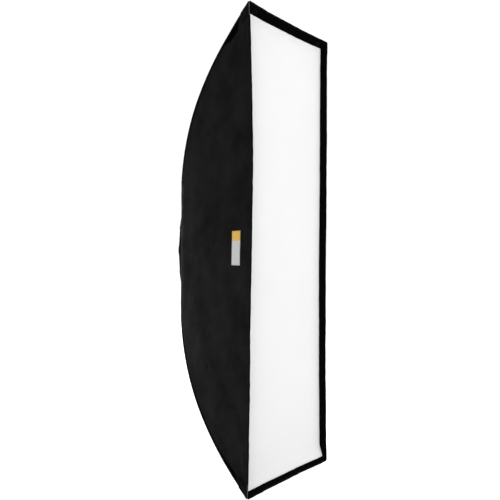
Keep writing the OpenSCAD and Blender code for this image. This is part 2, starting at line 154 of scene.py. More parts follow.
def half_z(depth, inset=0.0):
    """Half height of the shell at a depth, moved in by an inset."""
    line_d, line_z = shell_line(HUB_Z, math.cos(splay), inset, SEAM_END_ANGLE)
    edge_z = FLAP_END_Z - inset * math.cos(SEAM_END_ANGLE)
    line_d = np.append(line_d, [FLAP_END_DEPTH - inset, POINT_DEPTH - inset])
    line_z = np.append(line_z, [edge_z, 0])
    return np.interp(depth, line_d, line_z)


def half_x(depth, inset=0.0):
    """Half width of the shell at a depth, moved in by an inset."""
    line_d, line_x = shell_line(HUB_X, math.sin(splay), inset, SOCKET_ANGLE)
    return np.maximum(np.interp(depth, line_d, line_x), REAR_HALF_W - inset)


def depth_rows(start, stop, step):
    """Depths between two limits, evenly spaced along the curved seam."""
    fine = np.linspace(start, stop, 1500)
    run = np.hypot(np.diff(fine), np.hypot(np.diff(half_z(fine)), np.diff(half_x(fine))))
    run = np.concatenate([[0], np.cumsum(run)])
    count = max(2, int(round(run[-1] / step)) + 1)
    return np.interp(np.linspace(0, run[-1], count), run, fine)


seam_d, seam_z = shell_line(HUB_Z, math.cos(splay), 0.0, SEAM_END_ANGLE)
HINGE_DEPTH = float(seam_d[-1])
HINGE_Z = float(seam_z[-1])

fine_depth = np.linspace(-0.02, POINT_DEPTH, 1200)
fine_slope = np.gradient(half_z(fine_depth), fine_depth)
fine_run = np.concatenate([[0], np.cumsum(np.hypot(np.diff(fine_depth), np.diff(half_z(fine_depth))))])

# ---------- how the cloth stretches between the rods ----------


def smooth(low, high, value):
    """0 below the low limit, 1 above the high one and a soft step between them."""
    t = np.clip((value - low) / (high - low), 0, 1)
    return t * t * (3 - 2 * t)


def rough(u, v, scale, seed):
    """Smooth noise from -1 to 1 over two coordinates in metres, with features of about the given size."""
    flat_u, flat_v = np.broadcast_arrays(u, v)
    points = zip((flat_u / scale).ravel(), (flat_v / scale).ravel())
    values = [noise.noise((a, b, seed)) for a, b in points]
    return np.array(values).reshape(flat_u.shape)


# Creases of the side cloth: start depth, start height, length, bearing in degrees and rise in mm
CREASES = ((0.02, 0.30, 0.19, 24, 2.8), (0.05, 0.35, 0.14, 12, 2.1), (0.015, 0.22, 0.11, 40, 1.9),
           (0.02, -0.26, 0.15, -28, 1.7), (0.03, 0.47, 0.12, -18, 1.7), (0.12, -0.42, 0.12, -60, 1.4))


def crease(depth, z, start_d, start_z, length, bearing_deg, rise):
    """Height of one crease, which fades out at both ends."""
    turn = math.radians(bearing_deg)
    ahead = (depth - start_d) * math.cos(turn) + (z - start_z) * math.sin(turn)
    aside = (z - start_z) * math.cos(turn) - (depth - start_d) * math.sin(turn)
    aside = aside + 0.006 * rough(ahead, z * 0, 0.05, start_z)
    fades = smooth(0, 0.03, ahead) * (1 - smooth(length - 0.05, length, ahead))
    return rise * MM * fades * np.exp(-(aside / 0.012) ** 2)


def side_relief(depth, z):
    """Outward height of the side cloth's puckers and folds."""
    seam_gap = half_z(depth) - np.abs(z)
    slope = np.interp(depth, fine_depth, fine_slope)
    steepness = np.hypot(1, slope)
    from_seam = np.maximum(seam_gap / steepness, 0)
    along = np.interp(depth, fine_depth, fine_run) - seam_gap * slope / steepness
    patchy = 0.55 + 0.9 * rough(along, np.sign(z) * 0.3, 0.11, 3.1)
    pucker = np.sin(along * 2 * math.pi / 0.023 + 2.2 * rough(along, z * 0, 0.06, 1.7))
    near_seam = np.exp(-from_seam / 0.016) * smooth(0, 0.006, from_seam)
    height = 0.55 * MM * pucker * patchy * near_seam
    hem_fold = rough(z, depth * 0.12, 0.021, 8.3) + 0.6 * rough(z, depth * 0.1, 0.05, 5.2)
    height += 0.9 * MM * hem_fold * np.exp(-depth / 0.055) * smooth(0, 0.02, from_seam)
    corner_z_gap = HALF_H - np.abs(z)
    bearing = np.arctan2(depth + 0.004, corner_z_gap + 0.004)
    away = np.hypot(depth, corner_z_gap)
    fan = rough(bearing, away * 0.6 + np.sign(z), 0.16, 4.4)
    height += 1.5 * MM * fan * smooth(0.02, 0.12, away) * np.exp(-away / 0.22) * smooth(0, 0.03, from_seam)
    broad = rough(depth, z, 0.13, 2.6) + 0.5 * rough(depth, z, 0.06, 7.9)
    height += 1.4 * MM * broad * smooth(0, 0.08, from_seam)
    for shift in STRAP_SHIFTS:
        from_tab = np.hypot(depth - BAFFLE_DEPTH, z - shift)
        height -= 1.6 * MM * np.exp(-(from_tab / 0.013) ** 2)
    for place_and_shape in CREASES:
        height += crease(depth, z, *place_and_shape)
    return height * (1 - smooth(0.46, 0.5, depth))


def end_relief(depth, x):
    """Outward height of the end cloth's puckers and folds."""
    edge = half_x(depth) - np.abs(x)
    along = np.interp(depth, fine_depth, fine_run)
    pucker = np.sin(along * 2 * math.pi / 0.021 + 2.0 * rough(along, x * 0, 0.06, 6.7))
    height = 0.5 * MM * pucker * np.exp(-edge / 0.014) * smooth(0, 0.006, edge)
    hem_fold = rough(x, depth * 0.15, 0.019, 9.1)
    height += 0.8 * MM * hem_fold * np.exp(-depth / 0.045) * smooth(0, 0.02, edge)
    broad = rough(along, x, 0.1, 5.9) + 0.5 * rough(along, x, 0.045, 1.3)
    height += 0.8 * MM * broad * smooth(0, 0.05, edge)
    return height * (1 - smooth(0.44, 0.458, depth))


def pull_between_rods(x, z, depth, share_x, share_z):
    """Shifts of the tension that draws the panels in between the rods, a little more on one side."""
    bulge = np.sin(math.pi * np.clip(depth / 0.46, 0, 1))
    side_pull = (8 * MM + 5 * MM * bulge) * (1 - smooth(0.38, 0.49, depth))
    upper_half = np.exp(-((z - 0.3) / 0.35) ** 2)
    side_pull = side_pull + np.where(x < 0, 3 * MM * upper_half, -2 * MM) * (1 - smooth(0.1, 0.4, depth))
    end_pull = (4.5 * MM + 1.5 * MM * bulge) * (1 - smooth(0.36, 0.455, depth)) * np.where(z < 0, 0.35, 1.0)
    bow_z = np.clip(1 - share_z**2, 0, 1) * (1 + 0.25 * share_z)
    bow_x = np.clip(1 - share_x**2, 0, 1)
    move_x = -np.sign(x) * np.abs(share_x) ** 3 * side_pull * bow_z
    move_z = -np.sign(z) * np.abs(share_z) ** 3 * end_pull * bow_x
    top_dip = smooth(0.05, 0.11, depth) * (1 - smooth(0.26, 0.36, depth))
    move_z = move_z - np.clip(share_z, 0, 1) ** 6 * 3.2 * MM * top_dip
    sway = np.exp(-((z - 0.3) / 0.34) ** 2) * np.exp(-np.maximum(depth, 0) / 0.25)
    return move_x + 5 * MM * sway * (1 - smooth(0.35, 0.48, depth)), move_z


def corner_ears(x, z, depth, gap_x, gap_z):
    """Shifts at the front corners, where the rods push the hem out and its tip is rounded."""
    front = np.maximum(depth, 0)
    ear = np.exp(-gap_z / 0.034 - gap_x / 0.04 - front / 0.04)
    rounding = np.where(x < 0, 0.5 * MM, 2.4 * MM) * np.exp(-(gap_x + gap_z) / 0.008)
    rounding = rounding * (1 - smooth(0.015, 0.034, depth))
    right_dip = 4.2 * MM * np.exp(-(gap_x / 0.09) ** 2 - front / 0.05) * smooth(0.62, 0.7, z)
    move_x = np.sign(x) * (2.0 * MM * ear - rounding)
    rise = np.where(z > 0, 2.6 * MM, 1.2 * MM) * ear - rounding
    move_z = np.sign(z) * rise - np.where(x > 0, right_dip, 0)
    return move_x, -1.0 * MM * ear, move_z


def stretch(points, relief=True):
    """Moves points of the shell from the CAD's straight-sided shape to that of stretched cloth."""
    points = np.array(points, float)
    x, y, z = points[..., 0], points[..., 1], points[..., 2]
    depth = y + BANK_DEPTH
    edge_x = half_x(depth)
    edge_z = np.maximum(half_z(depth), FLAP_END_Z)
    share_x = np.clip(x / edge_x, -1.02, 1.02)
    share_z = np.clip(z / edge_z, -1.02, 1.02)
    gap_x = np.maximum(edge_x - np.abs(x), 0)
    gap_z = np.maximum(edge_z - np.abs(z), 0)
    pull_x, pull_z = pull_between_rods(x, z, depth, share_x, share_z)
    ear_x, ear_y, ear_z = corner_ears(x, z, depth, gap_x, gap_z)
    move_x = pull_x + ear_x
    move_z = pull_z + ear_z
    if relief:
        move_x = move_x + np.sign(x) * np.abs(share_x) ** 8 * side_relief(depth, z)
        move_z = move_z + np.sign(z) * np.abs(share_z) ** 8 * end_relief(depth, x)
    return points + np.stack([move_x, ear_y, move_z], axis=-1)


# ---------- mesh building ----------


def link(name, data):
    """Object that holds the given mesh, light or camera, put in the scene."""
    made = bpy.data.objects.new(name, data)
    bpy.context.scene.collection.objects.link(made)
    return made


def add_object(name, vertices, faces, material, sharp=40):
    """Smooth-shaded closed mesh, with creases where faces meet at more than the sharp angle."""
    mesh = bpy.data.meshes.new(name)
    mesh.from_pydata(np.asarray(vertices, float).tolist(), [], [list(map(int, face)) for face in faces])
    work = bmesh.new()
    work.from_mesh(mesh)
    bmesh.ops.remove_doubles(work, verts=work.verts, dist=1e-6)
    bmesh.ops.recalc_face_normals(work, faces=work.faces)
    work.to_mesh(mesh)
    work.free()
    mesh.materials.append(material)
    mesh.polygons.foreach_set("use_smooth", [True] * len(mesh.polygons))
    mesh.set_sharp_from_angle(angle=math.radians(sharp))
    return link(name, mesh)


def loop_faces(rows, cols, wrap):
    """Quads of a grid that closes on itself along its rows, and along its columns too if it wraps."""
    index = np.arange(rows * cols).reshape(rows, cols)
    below = np.roll(index, -1, axis=0)
    ahead = np.roll(index, -1, axis=1)
    corner = np.roll(below, -1, axis=1)
    last = cols if wrap else cols - 1
    quads = np.stack([index, ahead, corner, below], axis=-1)[:, :last]
    return quads.reshape(-1, 4)


def swept(name, sections, material, wrap=False):
    """Solid whose closed cross-section runs down the rows and whose path runs along the columns."""
    rows, cols = sections.shape[:2]
    faces = list(loop_faces(rows, cols, wrap))
    if not wrap:
        faces.append([r * cols for r in range(rows)])
        faces.append([r * cols + cols - 1 for r in reversed(range(rows))])
    return add_object(name, sections.reshape(-1, 3), faces, material)


def sheet(name, outer, inner, material):
    """Thin solid between two grids of points."""
    rows, cols = outer.shape[:2]
    loop = np.concatenate([outer, inner[::-1]])
    faces = list(loop_faces(2 * rows, cols, False))
    for col in (0, cols - 1):
        for r in range(rows - 1):
            mate = 2 * rows - 1 - r
            faces.append([r * cols + col, (r + 1) * cols + col, (mate - 1) * cols + col, mate * cols + col])
    return add_object(name, loop.reshape(-1, 3), faces, material)


def place(piece, body, slot, *replaced):
    """Fixes a piece to its body and hides the CAD solids it replaces. The slot is not used."""
    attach(piece, body)
    if replaced:
        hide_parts(*replaced)
    return piece


def points_at(x, depth, z):
    x, depth, z = np.broadcast_arrays(x, depth, z)
    return np.stack([x, depth - BANK_DEPTH, z], axis=-1).astype(float)


def on_side(side, depth, inset, z):
    """Stretched points of a side panel, at a height and moved in by an inset."""
    return stretch(points_at(side * half_x(depth, inset), depth, z))


def on_seam(side, level, depth, into_x, into_z):
    """Stretched points by a corner seam, moved in from the side and from the end."""
    return stretch(points_at(side * half_x(depth, into_x), depth, level * half_z(depth, into_z)))


def even(count):
    return np.linspace(-1, 1, count)


def closed(line):
    return np.concatenate([line, line[:1]])


def unit(vectors):
    return vectors / np.linalg.norm(vectors, axis=1)[:, None]


QUARTERS = ((1, 1), (-1, 1), (-1, -1), (1, -1))


def round_loop(half_u, half_v, radius, steps=3):
    """Closed rounded rectangle about the origin, as pairs (u, v)."""
    loop = []
    for quarter, (su, sv) in enumerate(QUARTERS):
        for k in range(steps + 1):
            angle = math.pi / 2 * (quarter + k / steps)
            loop.append((su * (half_u - radius) + radius * math.cos(angle),
                         sv * (half_v - radius) + radius * math.sin(angle)))
    return loop


def band_section(depth_a, depth_b, inset_a, inset_b):
    """Rounded section of a band as (depth, inset) pairs."""
    half_d, half_i = (depth_b - depth_a) / 2, (inset_b - inset_a) / 2
    loop = round_loop(half_d, half_i, min(half_d, half_i) * 0.9)
    return [((depth_a + depth_b) / 2 + u, (inset_a + inset_b) / 2 + v) for u, v in loop]


def walk_round(long_steps=200, short_steps=56, arc_steps=5):
    """Walk round the opening: shares of the half sizes, and the directions of the corner arcs."""
    walk = []
    for quarter, (sx, sz) in enumerate(QUARTERS):
        for k in range(arc_steps + 1):
            angle = math.pi / 2 * (quarter + k / arc_steps)
            walk.append((sx, sz, math.cos(angle), math.sin(angle)))
        steps = short_steps if quarter % 2 == 0 else long_steps
        for t in 1 - 2 * np.arange(1, steps) / steps:
            walk.append(((t, 1, 0, 1), (-1, t, -1, 0), (-t, -1, 0, -1), (1, -t, 1, 0))[quarter])
    return np.array(walk).T


WALK = walk_round()


def ring_row(depth, inset, corner_r=HEM_CORNER_R):
    """Closed row of points round the shell at a depth, moved in by an inset."""
    share_x, share_z, arc_x, arc_z = WALK
    radius = max(corner_r - inset, 0.3 * MM)
    x = share_x * (half_x(depth, inset) - radius) + arc_x * radius
    z = share_z * (half_z(depth, inset) - radius) + arc_z * radius
    return points_at(x, depth, z)


def ring_band(name, section, look, corner_r=HEM_CORNER_R, relief=True):
    """Band that runs round the opening with a closed section of (depth, inset) pairs."""
    rows = np.stack([ring_row(depth, inset, corner_r) for depth, inset in section])
    return swept(name, stretch(rows, relief), LOOKS[look], wrap=True)


# ---------- stitches ----------

# Rings along one stitch: place along its length, size and lift, as shares of its length and radius
STITCH_RINGS = ((-0.5, 0.3, -0.7), (-0.3, 1.0, 0.0), (0.3, 1.0, 0.0), (0.5, 0.3, -0.7))
STITCH_SIDES = 6


def stitch_faces():
    """Faces of one stitch: quads round its body and a cap at each end."""
    last = (len(STITCH_RINGS) - 1) * STITCH_SIDES
    faces = []
    for a in range(last):
        b = a + 1 if (a + 1) % STITCH_SIDES else a + 1 - STITCH_SIDES
        faces.append([a, b, b + STITCH_SIDES, a + STITCH_SIDES])
    cap = list(range(STITCH_SIDES))
    return faces + [cap[::-1], [last + k for k in cap]]


STITCH_FACES = stitch_faces()


def resample(path, pitch):
    """Centres and directions at even steps along a line of points."""
    run = np.concatenate([[0], np.cumsum(np.linalg.norm(np.diff(path, axis=0), axis=1))])
    count = max(1, int(run[-1] / pitch))
    at = (np.arange(count) + 0.5) * run[-1] / count
    before, centre, after = (np.stack([np.interp(at + step, run, path[:, k]) for k in range(3)], axis=1)
                             for step in (-pitch * 0.2, 0, pitch * 0.2))
    return at / run[-1], centre, unit(after - before)


class Thread:
    """Collects the stitches of one body in one mesh."""

    def __init__(self):
        self.vertices = []
        self.faces = []

    def row(self, path, normal, pitch=4 * MM, length=3.1 * MM, radius=0.34 * MM):
        """Adds stitches along a path. normal is one outward direction, or one at each point of the path."""
        at, centre, along = resample(np.asarray(path, float), pitch)
        normal = np.asarray(normal, float)
        if normal.ndim == 2:
            mark = np.linspace(0, 1, len(normal))
            normal = np.stack([np.interp(at, mark, normal[:, k]) for k in range(3)], axis=1)
        across = unit(np.cross(normal + 0 * centre, along))
        up = np.cross(along, across)
        turn = np.arange(STITCH_SIDES) * 2 * math.pi / STITCH_SIDES
        around = np.cos(turn)[None, :, None] * across[:, None] + np.sin(turn)[None, :, None] * up[:, None]
        rings = [centre[:, None] + offset * length * along[:, None] + lift * radius * up[:, None]
                 + size * radius * around for offset, size, lift in STITCH_RINGS]
        for stitch in np.stack(rings, axis=1):
            first = len(self.vertices)
            self.faces.extend([first + k for k in face] for face in STITCH_FACES)
            self.vertices.extend(stitch.reshape(-1, 3))

    def finish(self, name, body, look):
        mesh = bpy.data.meshes.new(name)
        mesh.from_pydata([tuple(v) for v in self.vertices], [], self.faces)
        mesh.polygons.foreach_set("use_smooth", [True] * len(mesh.polygons))
        mesh.materials.append(LOOKS[look])
        place(link(name, mesh), body, "hem_webbing")


threads = {body: Thread() for body in ("softbox", "top_flap", "bottom_flap")}

# ---------- materials ----------


class Look:
    """A node material under construction."""

    def __init__(self, name):
        self.material = bpy.data.materials.new(name)
        self.material.use_nodes = True
        self.tree = self.material.node_tree
        self.shader = self.tree.nodes["Principled BSDF"]
        self.coords = self.tree.nodes.new("ShaderNodeTexCoord").outputs["Object"]

    def put(self, socket, value):
        if isinstance(value, bpy.types.NodeSocket):
            self.tree.links.new(value, socket)
        elif hasattr(socket, "default_value"):
            socket.default_value = value

    def node(self, kind, out=0, inputs=None, **settings):
        made = self.tree.nodes.new("ShaderNode" + kind)
        for key, value in settings.items():
            setattr(made, key, value)
        for key, value in (inputs or {}).items():
            self.put(made.inputs[key], value)
        return made.outputs[out]

    def math(self, operation, a, b=0.0, c=0.0):
        return self.node("Math", operation=operation, inputs={0: a, 1: b, 2: c})

    def dot(self, direction):
        inputs = {0: self.coords, 1: tuple(direction)}
        return self.node("VectorMath", "Value", inputs, operation="DOT_PRODUCT")

    def wave(self, direction, pitch):
        return self.math("SINE", self.math("MULTIPLY", self.dot(direction), 2 * math.pi / pitch))

    def noise(self, size, detail=3.0, roughness=0.55, stretch=(1, 1, 1)):
        where = self.node("Mapping", inputs={"Vector": self.coords, "Scale": stretch})
        return self.node("TexNoise", "Fac", {"Vector": where, "Scale": 1 / size, "Detail": detail,
                                             "Roughness": roughness})

    def cells(self, size, feature="F1"):
        inputs = {"Vector": self.coords, "Scale": 1 / size}
        return self.node("TexVoronoi", "Distance", inputs, feature=feature)

    def ramp(self, value, low, high, at_low, at_high):
        return self.node("MapRange", inputs={"Value": value, "From Min": low, "From Max": high,
                                             "To Min": at_low, "To Max": at_high})

    def even(self, value, at_low, at_high):
        """A noise's usual span spread over two values."""
        return self.ramp(value, 0.3, 0.7, at_low, at_high)

    def mix(self, share, a, b):
        made = self.tree.nodes.new("ShaderNodeMix")
        made.data_type = "RGBA"
        self.put(made.inputs["Factor"], share)
        self.put(made.inputs[6], a)
        self.put(made.inputs[7], b)
        return made.outputs[2]

    def blotches(self, value, a, b):
        """Mix of two colours that follows a noise."""
        return self.mix(self.even(value, 0.0, 1.0), a, b)

    def bump(self, height, distance, strength=1.0, under=None):
        inputs = {"Height": height, "Distance": distance, "Strength": strength}
        if under is not None:
            inputs["Normal"] = under
        return self.node("Bump", inputs=inputs)

    def set(self, **values):
        for key, value in values.items():
            self.put(self.shader.inputs[key.replace("_", " ")], value)


def grey(value, tint=(1, 1, 1)):
    """Colour of the given lightness, or that share of a tint."""
    return (*(value * part for part in tint), 1.0)


X_AXIS = (1, 0, 0)
Y_AXIS = (0, 1, 0)
Z_AXIS = (0, 0, 1)
UPPER_SLOPE = (0, -0.7071, 0.7071)
LOWER_SLOPE = (0, 0.7071, 0.7071)
THREAD_LAY = (0.5, 0.5, 0.7)


def woven(name, value, u, v, pitch=1.1 * MM, depth=0.14 * MM, rough_value=0.62, sheen=0.12, variety=0.25,
          gloss=(0.02, 0.055)):
    """Plain-weave cloth."""
    look = Look(name)
    tint = (1, 1, 1.03)
    weave = look.math("MULTIPLY", look.wave(u, pitch), look.wave(v, pitch))
    slub = look.noise(9 * MM, 4.0)
    cloudy = look.noise(140 * MM, 2.0)
    worn = look.noise(85 * MM, 4.0, 0.6)
    shade = look.math("ADD", look.even(slub, 1 - variety * 0.5, 1 + variety * 0.5),
                      look.even(cloudy, -variety, variety))
    shade = look.math("MULTIPLY_ADD", weave, 0.10, shade)
    tone = look.mix(look.ramp(shade, 0.4, 1.7, 0.0, 1.0), grey(value * 0.45, tint), grey(value * 1.75, tint))
    height = look.math("ADD", weave, look.math("MULTIPLY", look.noise(1.5 * MM, 2.0), 0.8))
    normal = look.bump(look.noise(22 * MM, 3.0), 0.5 * MM, 0.35)
    normal = look.bump(height, depth, 0.55, normal)
    look.set(Base_Color=tone, Roughness=look.ramp(slub, 0.25, 0.75, rough_value - 0.07, rough_value + 0.1),
             Normal=normal, Specular_IOR_Level=look.ramp(worn, 0.36, 0.64, *gloss),
             Sheen_Weight=sheen * 0.07, Sheen_Roughness=0.45)
    return look.material


def webbing(name, value, across, rib=1.5 * MM, rough_value=0.7, sheen=0.1):
    """Ribbed tape: fine ribs run over it, broken up along their length."""
    look = Look(name)
    ribs = look.wave(across, rib)
    fuzz = look.noise(0.9 * MM, 3.0)
    cloudy = look.noise(45 * MM, 2.0)
    tone = look.mix(look.even(cloudy, 0.2, 0.8), grey(value * 0.6), grey(value * 1.5))
    tone = look.mix(look.ramp(ribs, -1.0, 1.0, 0.0, 0.35), tone, grey(value * 2.2))
    height = look.math("MULTIPLY_ADD", fuzz, 0.9, ribs)
    look.set(Base_Color=tone, Roughness=look.ramp(fuzz, 0.2, 0.8, rough_value - 0.08, rough_value + 0.12),
             Normal=look.bump(height, 0.22 * MM, 0.6), Specular_IOR_Level=0.035, Sheen_Weight=sheen * 0.15)
    return look.material


def pile(name, value, size, depth):
    """Fuzzy loop tape, or hook tape when the cells are small."""
    look = Look(name)
    cells = look.cells(size)
    fuzz = look.noise(size * 0.6, 4.0, 0.7)
    height = look.math("MULTIPLY_ADD", fuzz, 0.8, cells)
    look.set(Base_Color=look.mix(cells, grey(value * 1.8), grey(value * 0.5)),
             Roughness=look.ramp(fuzz, 0.2, 0.8, 0.8, 0.98), Normal=look.bump(height, depth, 0.8),
             Specular_IOR_Level=0.015, Sheen_Weight=0.002)
    return look.material


def silver_cloth(name):
    """Pebbled metallised lining."""
    look = Look(name)
    pebble = look.cells(3.2 * MM, "SMOOTH_F1")
    crinkle = look.noise(16 * MM, 5.0, 0.7)
    tone = look.mix(look.ramp(crinkle, 0.35, 0.65, 0, 1), grey(0.62, (0.98, 1, 1.02)), grey(0.74))
    normal = look.bump(crinkle, 1.6 * MM, 0.5)
    normal = look.bump(pebble, 0.9 * MM, 0.9, normal)
    look.set(Base_Color=tone, Metallic=0.95, Roughness=look.ramp(pebble, 0.0, 0.6, 0.2, 0.36), Normal=normal)
    return look.material


def diffusion_cloth(name):
    """White translucent nylon."""
    look = Look(name)
    weave = look.math("MULTIPLY", look.wave(X_AXIS, 0.9 * MM), look.wave(Z_AXIS, 0.9 * MM))
    cloudy = look.noise(120 * MM, 2.0)
    fine = look.noise(4 * MM, 3.0)
    tone = look.blotches(cloudy, (0.886, 0.886, 0.890, 1.0), (0.900, 0.900, 0.898, 1.0))
    tone = look.mix(look.even(fine, 0.0, 0.1), tone, (0.80, 0.80, 0.82, 1.0))
    look.set(Base_Color=tone, Roughness=0.75, Specular_IOR_Level=0.2, Sheen_Weight=0.1,
             Normal=look.bump(look.math("MULTIPLY_ADD", fine, 0.8, weave), 0.06 * MM, 0.5),
             Subsurface_Weight=0.12, Subsurface_Radius=(0.004, 0.004, 0.004), Subsurface_Scale=1.0)
    return look.material


def drawn_metal(name, tone, rough_value, grain_stretch=(1, 1, 1), grain=0.25 * MM):
    """Steel with a grain that is longest where its stretch is smallest."""
    look = Look(name)
    lines = look.noise(grain, 2.0, 0.6, grain_stretch)
    smudge = look.noise(18 * MM, 3.0)
    look.set(Base_Color=look.blotches(smudge, grey(0.88, tone), grey(1, tone)), Metallic=1.0,
             Normal=look.bump(lines, 0.03 * MM, 0.5),
             Roughness=look.math("ADD", look.ramp(lines, 0.2, 0.8, -0.05, 0.08),
                                 look.even(smudge, rough_value - 0.05, rough_value + 0.07)))
    return look.material


def turned_metal(name, tone, rough_value):
    """Aluminium turned about the optical axis."""
    look = Look(name)
    x_out = look.node("SeparateXYZ", inputs={0: look.coords})
    y_out, z_out = x_out.node.outputs[1], x_out.node.outputs[2]
    squares = [look.math("POWER", value, 2.0) for value in (x_out, z_out)]
    radius = look.math("SQRT", look.math("ADD", *squares))
    ring = look.node("CombineXYZ", inputs={0: radius, 1: y_out})
    lines = look.node("TexNoise", "Fac", {"Vector": ring, "Scale": 2600.0, "Detail": 2.0})
    smudge = look.noise(22 * MM, 3.0)
    look.set(Base_Color=look.blotches(smudge, grey(0.86, tone), grey(1, tone)),
             Metallic=1.0, Anisotropic=0.5, Normal=look.bump(lines, 0.05 * MM, 0.6),
             Roughness=look.math("ADD", look.ramp(lines, 0.2, 0.8, -0.06, 0.1),
                                 look.even(smudge, rough_value, rough_value + 0.1)))
    return look.material


def textured_paint(name, value, rough_value, grain=0.7 * MM, depth=0.12 * MM, wear=0.35):
    """Powder coat or moulded plastic with an orange-peel or spark texture and rubbed edges."""
    look = Look(name)
    peel = look.noise(grain, 3.0, 0.6)
    smudge = look.noise(25 * MM, 3.0)
    base = look.blotches(smudge, grey(value * 0.8), grey(value * 1.25))
    edge = look.node("NewGeometry", "Pointiness")
    worn_edge = look.ramp(edge, 0.51, 0.57, 0.0, wear)
    rubbed = look.math("MULTIPLY", worn_edge, look.ramp(smudge, 0.4, 0.6, 0.1, 1.0))
    base = look.mix(rubbed, base, grey(max(value * 6, 0.18)))
    look.set(Base_Color=base, Normal=look.bump(peel, depth, 0.6), Specular_IOR_Level=0.45,
             Roughness=look.even(smudge, rough_value - 0.06, rough_value + 0.08))
    return look.material


def plastic(name, tone, rough_value):
    """Smooth moulded plastic or rubber."""
    look = Look(name)
    spark = look.noise(0.5 * MM, 2.0, 0.6)
    smudge = look.noise(12 * MM, 3.0)
    look.set(Base_Color=look.blotches(smudge, grey(0.85, tone), grey(1.1, tone)),
             Roughness=look.even(smudge, rough_value - 0.05, rough_value + 0.08),
             Normal=look.bump(spark, 0.05 * MM, 0.5))
    return look.material


def label_cloth(name, band_from):
    """Plain satin label with a coloured band woven in near one end."""
    look = Look(name)
    weave = look.wave(Z_AXIS, 0.8 * MM)
    fine = look.noise(2 * MM, 3.0)
    white = look.blotches(fine, grey(0.50), grey(0.64))
    gold = look.blotches(fine, (0.62, 0.36, 0.05, 1.0), (0.80, 0.50, 0.08, 1.0))
    banded = look.ramp(look.dot(Z_AXIS), band_from - 0.2 * MM, band_from + 0.2 * MM, 0.0, 1.0)
    look.set(Base_Color=look.mix(banded, white, gold), Roughness=0.5, Sheen_Weight=0.2,
             Normal=look.bump(weave, 0.08 * MM, 0.5))
    return look.material


BLACK = 0.005
COARSE = {"pitch": 1.9 * MM, "depth": 0.3 * MM}
LOOKS = {
    "side_cloth": woven("side_cloth", BLACK, Y_AXIS, Z_AXIS),
    "top_cloth": woven("top_cloth", BLACK, X_AXIS, UPPER_SLOPE),
    "bottom_cloth": woven("bottom_cloth", BLACK, X_AXIS, LOWER_SLOPE),
    "flap_cloth": woven("flap_cloth", BLACK, X_AXIS, Z_AXIS),
    "collar_cloth": woven("collar_cloth", BLACK * 0.9, X_AXIS, Z_AXIS, variety=0.15),
    "patch_cloth": woven("patch_cloth", BLACK * 0.7, Y_AXIS, Z_AXIS, rough_value=0.7, sheen=0.08, **COARSE),
    # Near-black, nearly glossless patch cloth: painted shade along the corner seams near the rod ends.
    "rod_shade_patch": woven("rod_shade_patch", BLACK * 0.1, Y_AXIS, Z_AXIS, rough_value=0.85, sheen=0.0,
                       gloss=(0.003, 0.012), **COARSE),
    "seam_tape": webbing("seam_tape", 0.0012, Y_AXIS, sheen=0.02),
    "hem_tape": webbing("hem_tape", 0.0016, Z_AXIS, sheen=0.02),
    "pull_tape": webbing("pull_tape", 0.0018, X_AXIS, sheen=0.02),
    "white_tape": webbing("white_tape", 0.55, Z_AXIS, rough_value=0.75),
    "elastic": webbing("elastic", 0.012, X_AXIS, rib=1.1 * MM),
    "loop_tape": pile("loop_tape", 0.0012, 1.1 * MM, 0.5 * MM),
    "hook_tape": pile("hook_tape", 0.0014, 1.4 * MM, 0.35 * MM),
    "thread": webbing("thread", 0.004, THREAD_LAY, rib=0.6 * MM),
    # Light-grey thread of the corner tacks: painted highlight of the hem's edge at the front corners.
    "painted_highlight_thread": webbing("painted_highlight_thread", 0.16, THREAD_LAY, rib=0.6 * MM),
    "silver": silver_cloth("silver"),
    "diffusion": diffusion_cloth("diffusion"),
}

# ---------- sewn shell ----------

WEB_DEPTH = 504 * MM
SIDE_SHARES = even(231)
END_SHARES = even(59)


def side_grid(side, inset, depths, edge_inset, peak):
    """Points of a side panel: depth down the rows, height along the columns, peak the point at the rear."""
    d = depths[:, None]
    grid = on_side(side, d, inset, SIDE_SHARES[None, :] * half_z(d, edge_inset))
    grid[..., 1] += smooth(0.47, FLAP_END_DEPTH, d) * peak * (1 - np.abs(SIDE_SHARES[None, :]))
    return grid


def end_grid(level, inset, depths, edge_inset):
    """Points of an end panel: depth down the rows, width along the columns."""
    d = depths[:, None]
    x = END_SHARES[None, :] * half_x(d, edge_inset)
    return stretch(points_at(x, d, level * half_z(d, inset)))


def lining_rows(depths, last):
    """The cloth's own rows from behind the lip to the lining's rear edge, which keep the layers parallel."""
    kept = depths[(depths > LIP_DEPTH + 2 * MM) & (depths < last - 0.5 * MM)]
    return np.append(kept, last)


def panel(name, grid, insets, look, slot, node):
    """Layer of the shell between two insets, from a function that gives the grid of points at an inset."""
    place(sheet(name, *(grid(inset) for inset in insets), LOOKS[look]), "softbox", slot, node)


cloth_insets = (0, CLOTH)
lining_insets = (LINING_OUT, LINING_IN)
side_depths = depth_rows(HEM_DEPTH, FLAP_END_DEPTH, 6 * MM)
side_lining_depths = lining_rows(side_depths, WEB_DEPTH - 1 * MM)
side_peak = POINT_DEPTH - FLAP_END_DEPTH
for word, side in SIDES:
    panel(f"side_cloth_{word}", lambda inset: side_grid(side, inset, side_depths, LINING_OUT, side_peak),
          cloth_insets, "side_cloth", "black_cloth", f"side_panel_{word}")
    panel(f"silver_lining_{word}",
          lambda inset: side_grid(side, inset, side_lining_depths, LINING_IN + GAP, 0), lining_insets,
          "silver", "silver_lining", f"lining_{word}")

end_depths = depth_rows(HEM_DEPTH, HINGE_DEPTH, 6 * MM)
end_lining_depths = lining_rows(end_depths, HINGE_DEPTH - 3 * MM)
for word, level in ENDS:
    panel(f"end_cloth_{word}", lambda inset: end_grid(level, inset, end_depths, 0), cloth_insets,
          f"{word}_cloth", "black_cloth", f"end_panel_{word}")
    panel(f"silver_lining_{word}", lambda inset: end_grid(level, inset, end_lining_depths, LINING_OUT),
          lining_insets, "silver", "silver_lining", f"lining_{word}")

# ---------- front edge ----------


